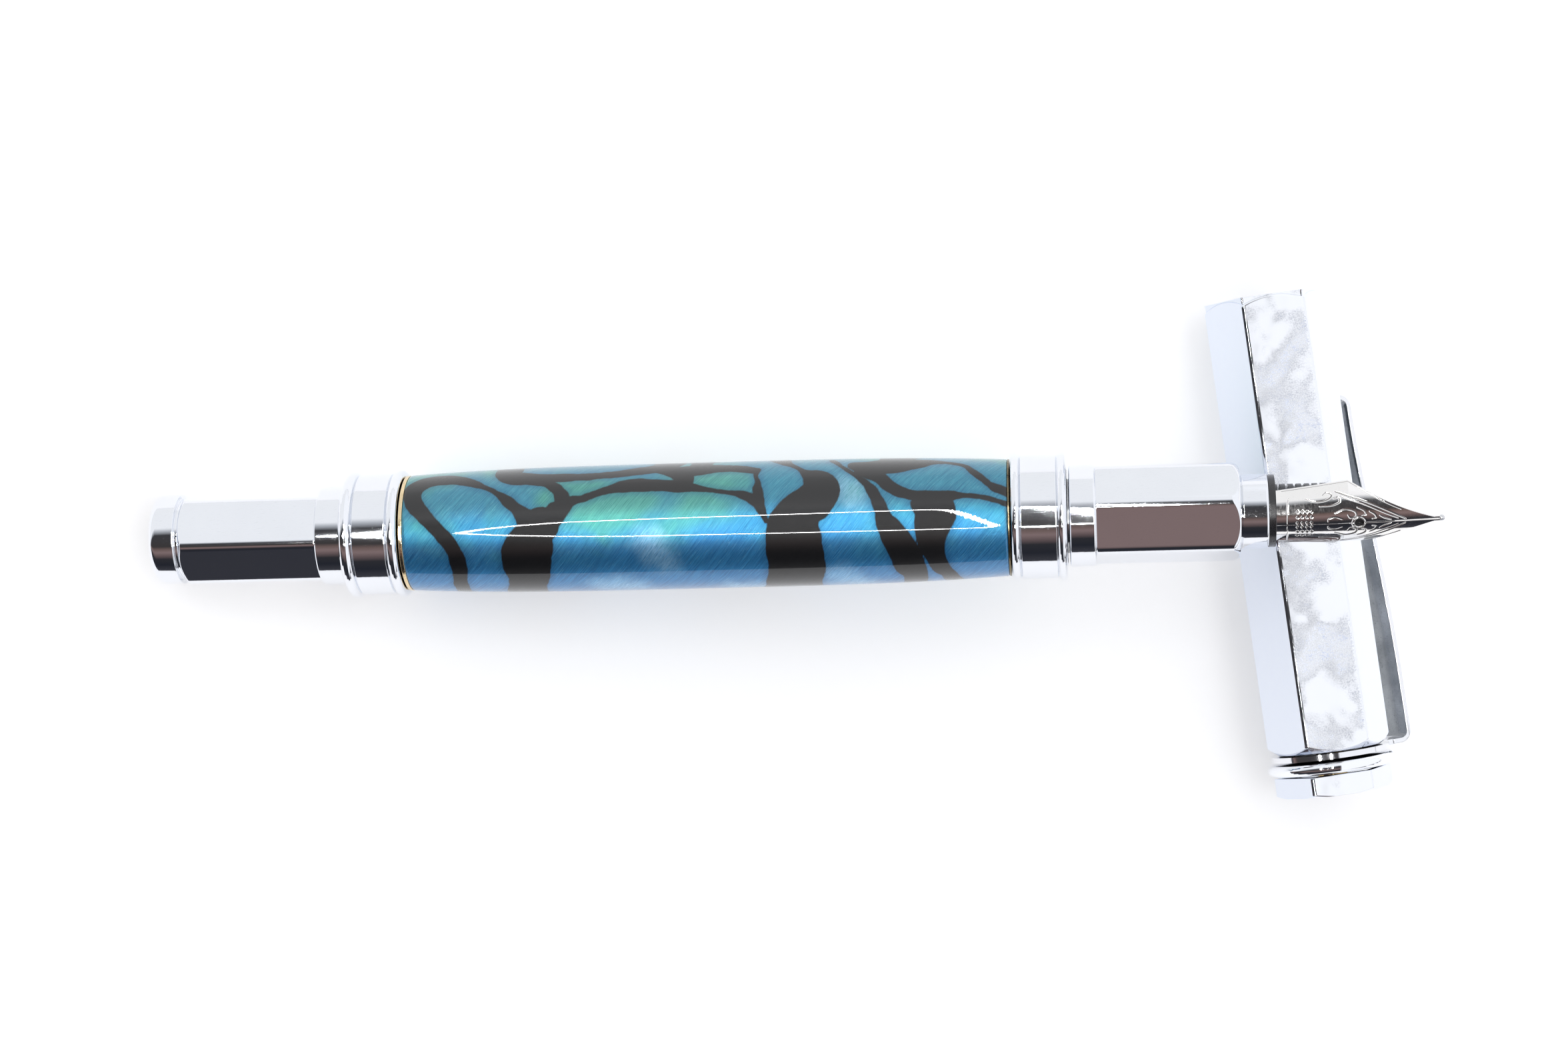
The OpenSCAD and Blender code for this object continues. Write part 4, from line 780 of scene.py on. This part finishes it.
def build_nib():
    """Each half of the sheet is a grid: by distance from the section, and outwards from the slit."""
    a_front = span("nose_magnet_ring")[1]
    lo, hi = span("nib")
    out = span("nib_tipping")[1] - a_front
    sheet_end = hi - a_front
    shoulder_w = NIB["r"] + NIB["flare"]

    def back(d):
        return NIB["r"] - NIB["drop"] * np.clip((d - 3) / (out - 3), 0, None) ** 1.5

    def bend(d):
        return NIB["r"] + (NIB["flare"] + NIB["open"]) * np.clip(d / NIB["shoulder"], 0, 1)

    def half(d):
        base = NIB["r"] * math.sin(math.radians(73))
        t = np.clip((d - NIB["shoulder"]) / (out - NIB["shoulder"]), 0, 1)
        taper = np.maximum(0.3, shoulder_w * ((1 - t) ** 1.15 + 0.5 * t * (1 - t) ** 4))
        rising = base + (shoulder_w - base) * d / NIB["shoulder"]
        return np.where(d <= 0, base, np.where(d < NIB["shoulder"], rising, taper))

    ds = np.concatenate([np.linspace(lo - a_front, -0.1, 20), np.linspace(0, sheet_end, 430)])
    cols = 121
    slit, hole_at, hole_r = 0.05, NIB["shoulder"] + 1.1, 0.5
    for_side = []
    for side in (1, -1):
        k = np.linspace(0, 1, cols)
        k = 1 - (1 - k) ** 1.15
        D, K = np.meshgrid(ds, k, indexing="ij")
        wide = np.arcsin(np.minimum(0.999, half(D) / bend(D)))
        start = np.where(D > hole_at, slit, 0.0)
        start = np.maximum(start, np.sqrt(np.maximum(hole_r**2 - (D - hole_at) ** 2, 0)))
        start = np.where(D > hole_at + hole_r * 0.99, slit, start)
        first = start / bend(D)
        angle = first + (wide - first) * K
        S = angle * bend(D)
        stroke = stroke_distance(D, S, SCROLLS, start=3.0)
        ring = np.abs(np.hypot(D - hole_at, S) - hole_r - 0.22) - 0.045
        edge_line = np.abs((wide - angle) * bend(D) - 0.28) - 0.03
        edge_line = np.where((D > 0.6) & (D < 13.2), edge_line, 3.0)
        lozenge = np.abs((D % 0.5) - 0.25) + np.abs(((S + 0.05) % 0.62) - 0.31) * 0.9 - 0.17
        rows = np.where((D > 2.0) & (D < 4.0) & (S < 1.9 - 0.25 * (D - 2)), lozenge, 3.0)
        cut_at = np.minimum(np.minimum(stroke, ring), np.minimum(edge_line, rows))
        # The groove mask sinks the engraving 0.045 mm and also carries painted shade into the nib's base
        # colour.
        cut = np.clip(0.5 - cut_at / 0.09, 0, 1) * (D > 0.3)
        depth = 0.045 * cut
        edge_round = 0.05 * np.clip(1 - (wide - angle) * bend(D) / 0.08, 0, 1) ** 2
        slit_round = 0.04 * np.clip(1 - (angle - first) * bend(D) / 0.06, 0, 1) ** 2
        edge_round = edge_round + slit_round * (D > hole_at - 1)
        radius = bend(D) - depth - edge_round
        y = side * radius * np.sin(angle)
        z = back(D) - bend(D) + radius * np.cos(angle)
        under = bend(D) - NIB["thick"]
        y2 = side * under * np.sin(angle)
        z2 = back(D) - bend(D) + under * np.cos(angle)
        top = np.stack([D + a_front, y, z], -1)
        low = np.stack([D + a_front, y2, z2], -1)[:, ::-1]
        loop = np.concatenate([top, low[:, ::6][:, :-1], low[:, -1:]], 1)
        cuts = np.concatenate([cut, np.zeros((len(ds), loop.shape[1] - cols))], 1)
        for_side.append((loop, cuts, side))
    verts, faces, cuts, base = [], [], [], 0
    for loop, cut, side in for_side:
        rows, n = loop.shape[:2]
        y = loop[..., 1] * math.cos(NIB_ROLL) - loop[..., 2] * math.sin(NIB_ROLL)
        z = loop[..., 1] * math.sin(NIB_ROLL) + loop[..., 2] * math.cos(NIB_ROLL)
        verts.append(np.stack([loop[..., 0], y, z], -1).reshape(-1, 3))
        cuts.append(cut.ravel())
        own = grid_faces(rows, n, True, False)
        own += [tuple(range(n)), tuple(reversed(range((rows - 1) * n, rows * n)))]
        if side > 0:
            own = [tuple(reversed(f)) for f in own]
        faces += [tuple(base + i for i in f) for f in own]
        base += rows * n
    ob = make("nib_engraved", np.concatenate(verts), faces, "section", pen, nib_steel,
              {"cut": np.concatenate(cuts)})
    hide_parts("nib")


def build_feed():
    """A comb of turned slots, and a tongue that narrows under the nib."""
    a_front = span("nose_magnet_ring")[1]
    f0, f1 = span("feed")
    r = reach("feed")
    slot_depth, slot_len, slot_pitch, comb_len = 0.75, 0.3, 0.86, 5.6
    core = r - slot_depth
    comb_end = a_front + comb_len
    profile = [(f0, 0.03), (f0, r), (a_front + 0.25, r)]
    for i in range(9):
        at = a_front + 0.3 + slot_pitch * i
        profile += [(at, r), (at, core), (at + slot_len, core), (at + slot_len, r)]
    profile = [q for q in profile if q[0] < comb_end]
    profile += [(comb_end, r), (comb_end, 0.03)]
    ob = turned("feed_comb", profile, "section", pen, black, 0.03, 96, closed=False)
    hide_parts("feed")
    rows, cols, tongue_from = 40, 64, 5.5
    turn = np.linspace(0, 2 * np.pi, cols, endpoint=False)
    tongue = []
    for u in np.linspace(0, 1, rows):
        d = tongue_from + (f1 - a_front - tongue_from) * u
        near = min(1, u / 0.3)
        near = near * near * (3 - 2 * near)
        back = NIB["r"] - NIB["drop"] * max(0, (d - 3) / 14.9) ** 1.5
        wide = (1 - near) * (r - 0.02) + near * (1.5 - 1.0 * u)
        high = (1 - near) * (r - 0.02) + near * (1.0 - 0.72 * u)
        mid = near * (back - NIB["thick"] - 0.04 - high - wide * wide / 12)
        y, z = wide * np.sin(turn), mid + high * np.cos(turn)
        tongue.append(np.stack([np.full(cols, a_front + d), y * math.cos(NIB_ROLL) - z * math.sin(NIB_ROLL),
                                y * math.sin(NIB_ROLL) + z * math.cos(NIB_ROLL)], -1))
    last = (rows - 1) * cols
    faces = grid_faces(rows, cols) + [tuple(range(cols)), tuple(reversed(range(last, last + cols)))]
    ob = make("feed_tongue", np.concatenate(tongue), faces, "section", pen, black)


# ---------- cap ----------
def face_wear_and_painted_shade(rows, angles):
    """Which vertices are on the worn top face, and how much painted shade greys the other faces."""
    a = (np.degrees(angles) + 180) % 360 - 180
    top = np.clip((29.6 - np.abs(a)) / 1.2, 0, 1)
    # Painted shade: full grey on the faces at negative angles, a little on the others, none on the top
    # face.
    side = np.where(a < 0, 1.0, 0.3) * (1 - top)
    return {"top": np.tile(top, rows), "side": np.tile(side, rows)}


CAP_CORNER = 0.5


def build_cap():
    c0, c1 = span("cap_shell", cap)
    a, r = stations_radii("cap_shell", cap)
    side = float(r.max()) + CAP_CORNER / COS30 - CAP_CORNER
    base, angles = hex_angles(0.0, 3.2, 10, 44)
    ones = np.ones(len(base))
    hexa = hex_radius(base, side, CAP_CORNER)
    face = float(hexa.min())
    # Both ends are turned, so the flats end in arcs.
    corner, arc_in = 1.5, 1.9
    arc_r = side + 0.3 - corner
    turn = np.radians(np.linspace(-50, 0, 10))
    mouth = [(arc_in + corner * math.sin(t), arc_r + corner * math.cos(t)) for t in turn]
    rim_a = [c0] + [q[0] for q in mouth] + [c1 - q[0] for q in reversed(mouth)] + [c1]
    rim_r = [face - 0.25] + [q[1] for q in mouth] + [q[1] for q in reversed(mouth)] + [face - 0.25]
    magnet_at = span("cap_magnet_ring", cap)[0]
    inner_end = span("inner_cap", cap)[1]
    inner_r = reach("inner_cap", cap) + PRESS
    socket_face = float(r[a < c0 + 0.01].min())
    socket = hex_radius(base, socket_face / COS30 + 0.1, 0.3)
    stud = reach("finial_stud", cap) + PRESS
    nut_end, nut_r = span("cap_end_nut", cap)[1], reach("cap_end_nut", cap) + PRESS
    stations = np.concatenate([np.linspace(c0 + 0.08, c0 + 2.2, 40), np.linspace(c0 + 3, c1 - 3, 40),
                               np.linspace(c1 - 2.2, c1 - 0.08, 40)])
    rings = [(c0, soft_min(hexa, ones * (face - 0.31), 0.05)),
             (c0 + 0.04, soft_min(hexa, ones * (face - 0.24), 0.05))]
    rings += [(at, soft_min(hexa, np.interp(at, rim_a, rim_r) * ones, 0.16)) for at in stations]
    inside = [(c1 - 0.04, face - 0.24), (c1, face - 0.31), (c1, stud), (nut_end, stud), (nut_end, nut_r),
              (inner_end, nut_r), (inner_end, inner_r), (magnet_at, inner_r)]
    rings += [(at, radius * ones) for at, radius in inside]
    rings += [(magnet_at, socket), (c0 + 0.3, socket), (c0 + 0.12, socket + 0.04), (c0, socket + 0.16)]
    ob = sweep("cap_body", rings, angles, "cap", cap, cap_chrome, closed=True,
               attributes=face_wear_and_painted_shade(len(rings), base))
    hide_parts("cap_shell")


def build_finial():
    stud = reach("finial_stud", cap) + PRESS
    f0, f1 = span("finial_flange", cap)
    profile = [(f0, stud)] + bead_points(f0, f1, reach("finial_flange", cap), 20) + [(f1, stud)]
    ob = turned("cap_flange", profile, "cap", cap, cap_chrome, 0.05, 240)
    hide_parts("finial_flange")
    h0, h1 = span("finial_hex", cap)
    side = reach("finial_hex", cap) + CAP_CORNER / COS30 - CAP_CORNER
    base, angles = hex_angles(0.0, 3.2, 10, 44)
    ones = np.ones(len(base))
    hexa = hex_radius(base, side, CAP_CORNER)
    hole, hole_from = 0.3 * ones, h0 + 0.2
    rings = [(h0, stud * ones), (h0, hexa - 0.08), (h0 + 0.03, hexa - 0.02), (h0 + 0.1, hexa)]
    for a in np.linspace(h0 + 0.2, h1, 40):
        rim = np.interp(a, [h0, h1 - 0.35, h1], [side + 0.3, side + 0.02, side - 0.7])
        rings.append((a, soft_min(hexa, rim * ones, 0.12)))
    rings += [(h1, rings[-1][1] - 0.08), (h1, hole), (hole_from, hole), (hole_from, stud * ones)]
    ob = sweep("cap_finial", rings, angles, "cap", cap, cap_chrome, closed=True,
               attributes=face_wear_and_painted_shade(len(rings), base))
    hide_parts("finial_hex")


def build_clip():
    """The CAD clip with rounded edges, and a rougher face towards the cap whose dark base colour is painted
    shade.
    """
    source = frame["nodes"]["clip_arm"]
    me = source.data.copy()
    me.name = "clip_spring"
    ob = bpy.data.objects.new("clip_spring", me)
    bpy.context.scene.collection.objects.link(ob)
    me.materials.clear()
    me.materials.append(clip_chrome)
    me.materials.append(clip_face_painted_shade)
    weld = ob.modifiers.new("weld", "WELD")
    weld.merge_threshold = 0.004 * MM
    flat = ob.modifiers.new("flat", "DECIMATE")
    flat.decimate_type = "DISSOLVE"
    flat.angle_limit = math.radians(1.0)
    flat.delimit = {"MATERIAL"}
    soft = ob.modifiers.new("round", "BEVEL")
    soft.width = 0.12 * MM
    soft.segments = 3
    soft.angle_limit = math.radians(50)
    soft.harden_normals = True
    clip_turn = math.radians(-30)
    out = cap.y * math.cos(clip_turn) + cap.z * math.sin(clip_turn)
    for face in me.polygons:
        face.use_smooth = True
        # Faces turned towards the cap take the material with painted shade.
        if np.dot(np.array(face.normal), out) < -0.55:
            face.material_index = 1
    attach(ob, "clip")
    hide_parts("clip_arm")


build_rear_end()
build_couplers()
build_barrel()
build_grip()
build_nose_ring()
build_thread()
build_nib()
build_feed()
build_cap()
build_finial()
build_clip()

# ---------- finishes of the CAD nodes that are shown as they are ----------
FINISH = {
    "rear_magnet": magnet,
    "barrel_tube": brass,
    "threaded_insert": steel,
    "section_seal": rubber,
    "nib_housing": black,
    "nib_tipping": steel,
    "converter_mouth": black,
    "converter_tube": clear,
    "converter_collar": steel,
    "agitator_ball": steel,
    "piston_seal": rubber,
    "piston_rod": white,
    "converter_knob": black,
    "knob_nut": steel,
    "inner_cap": black,
    "cap_magnet_ring": magnet,
    "cap_end_nut": brass,
    "clip_ring": clip_chrome,
    "finial_stud": brass,
}
for node, finish in FINISH.items():
    me = frame["nodes"][node].data
    me.materials.clear()
    me.materials.append(finish)

# ---------- floor, light and camera ----------
def floor_material():
    n = Nodes("paper")
    c = n.coords()
    fibre = n.noise(c, 900.0, 4.0, 0.6)
    n.set(
        Base_Color=n.mix(n.ramp(fibre, 0.3, 0.7), (0.93, 0.93, 0.935), (0.955, 0.955, 0.955)),
        Roughness=0.9,
        Specular_IOR_Level=0.1,
        Emission_Color=(1.0, 1.0, 1.0),
        Emission_Strength=0.34,
    )
    return n.m


def link(name, data):
    ob = bpy.data.objects.new(name, data)
    bpy.context.scene.collection.objects.link(ob)
    return ob


def build_floor():
    z = float(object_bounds()[0].z)
    big = 2.5
    me = bpy.data.meshes.new("floor")
    me.from_pydata([(-big, -big, z), (big, -big, z), (big, big, z), (-big, big, z)], [], [(0, 1, 2, 3)])
    me.materials.append(floor_material())
    link("floor", me)


def strip(name, p, q, height, width, power, shine=True, diffuse=True):
    """A level strip of light from p to q that shines down."""
    p, q = Vector((*p, height)), Vector((*q, height))
    data = bpy.data.lights.new(name, "AREA")
    data.shape = "RECTANGLE"
    data.size = (q - p).length
    data.size_y = width
    data.energy = power
    ob = link(name, data)
    ob.location = (p + q) / 2
    ob.rotation_euler = (0, 0, math.atan2(q.y - p.y, q.x - p.x))
    ob.visible_camera = False
    ob.visible_glossy = shine
    ob.visible_diffuse = diffuse
    return ob


# The ring of light that shows as two bright lines on the barrel: its corners in metres.
RING = [
    (-0.165, 0.011), (-0.148, 0.048), (-0.130, 0.077), (-0.110, 0.100), (-0.080, 0.110), (-0.035, 0.119),
    (0.000, 0.124), (0.006, 0.118), (0.009, 0.098), (0.009, -0.076), (0.006, -0.096), (0.000, -0.102),
    (-0.035, -0.097), (-0.080, -0.088), (-0.110, -0.078), (-0.130, -0.055), (-0.148, -0.026),
]


def build_lights():
    height, width, watts_per_metre = 0.355, 0.0055, 1.7
    for i, p in enumerate(RING):
        q = RING[(i + 1) % len(RING)]
        power = watts_per_metre * math.hypot(q[0] - p[0], q[1] - p[1])
        strip(f"ring_{i:02d}", p, q, height, width, power, diffuse=False)
    strip("overhead", (-0.6, 0.0), (0.6, 0.0), 0.9, 1.2, 2.4, shine=False)


# Angle from straight up in degrees, towards the top of the picture, and the room's colour there.
STOPS = [
    (-180, (0.9, 0.9, 0.9)),
    (-94, (0.9, 0.9, 0.9)),
    (-90, (0.05, 0.05, 0.06)),
    (-70, (0.02, 0.022, 0.03)),
    (-52, (0.03, 0.03, 0.035)),
    (-42, (0.14, 0.1, 0.1)),
    (-33, (0.24, 0.17, 0.165)),
    (-24, (0.16, 0.11, 0.1)),
    (-17, (0.05, 0.045, 0.045)),
    (14, (0.05, 0.05, 0.055)),
    (24, (0.5, 0.52, 0.55)),
    (32, (0.98, 0.99, 1.01)),
    (100, (0.98, 0.99, 1.0)),
    (180, (0.9, 0.9, 0.9)),
]


def build_world():
    """A plain pale sky for the camera, and for reflections a room with a dark band behind the camera."""
    world = bpy.data.worlds.new("studio")
    bpy.context.scene.world = world
    world.use_nodes = True
    tree = world.node_tree
    tree.nodes.clear()

    def put(socket, value):
        if isinstance(value, bpy.types.NodeSocket):
            tree.links.new(value, socket)
        else:
            socket.default_value = value

    def node(kind, *inputs, **props):
        n = tree.nodes.new("ShaderNode" + kind)
        for key, value in props.items():
            setattr(n, key, value)
        for socket, value in zip(n.inputs, inputs):
            put(socket, value)
        return n.outputs[0]

    def calc(op, *inputs, clamp=False):
        return node("Math", *inputs, operation=op, use_clamp=clamp)

    direction = tree.nodes.new("ShaderNodeSeparateXYZ")
    tree.links.new(node("TexCoord"), direction.inputs[0])
    tilt = calc("ARCTAN2", direction.outputs[1], direction.outputs[2])
    room = tree.nodes.new("ShaderNodeValToRGB")
    put(room.inputs[0], calc("ADD", calc("DIVIDE", tilt, 2 * math.pi), 0.5))
    stops = room.color_ramp.elements
    while len(stops) < len(STOPS):
        stops.new(0.5)
    for stop, (degrees, colour) in zip(stops, STOPS):
        stop.position = degrees / 360 + 0.5
        stop.color = (*colour, 1)
    # The room is bright to the right of the picture, down to the horizon.
    to_right = node("MapRange", direction.outputs[0], 0.11, 0.15)
    above = node("MapRange", calc("ABSOLUTE", tilt), 1.30, 1.56, 1.0, 0.0)
    mix = tree.nodes.new("ShaderNodeMix")
    mix.data_type = "RGBA"
    put(mix.inputs[0], calc("MULTIPLY", to_right, above, clamp=True))
    put(mix.inputs[6], room.outputs[0])
    put(mix.inputs[7], (1.08, 1.09, 1.12, 1))
    seen = node("Background", (0.98, 0.985, 0.99, 1), 1.0)
    reflected = node("Background", mix.outputs[2], 1.0)
    camera_ray = tree.nodes.new("ShaderNodeLightPath").outputs["Is Camera Ray"]
    shown = node("MixShader", camera_ray, reflected, seen)
    put(tree.nodes.new("ShaderNodeOutputWorld").inputs[0], shown)


def build_camera():
    data = bpy.data.cameras.new("camera")
    data.lens = 73.0
    data.sensor_width = 36.0
    data.sensor_fit = "HORIZONTAL"
    data.clip_start = 0.01
    ob = link("camera", data)
    ob.location = (-0.00007, 0.01043, 0.3594)
    ob.rotation_euler = (0, 0, math.radians(-8.061))
    bpy.context.scene.camera = ob
    view = bpy.context.scene.view_settings
    view.view_transform = "Standard"
    view.look = "None"
    view.exposure = 0.0


build_floor()
build_lights()
build_world()
build_camera()
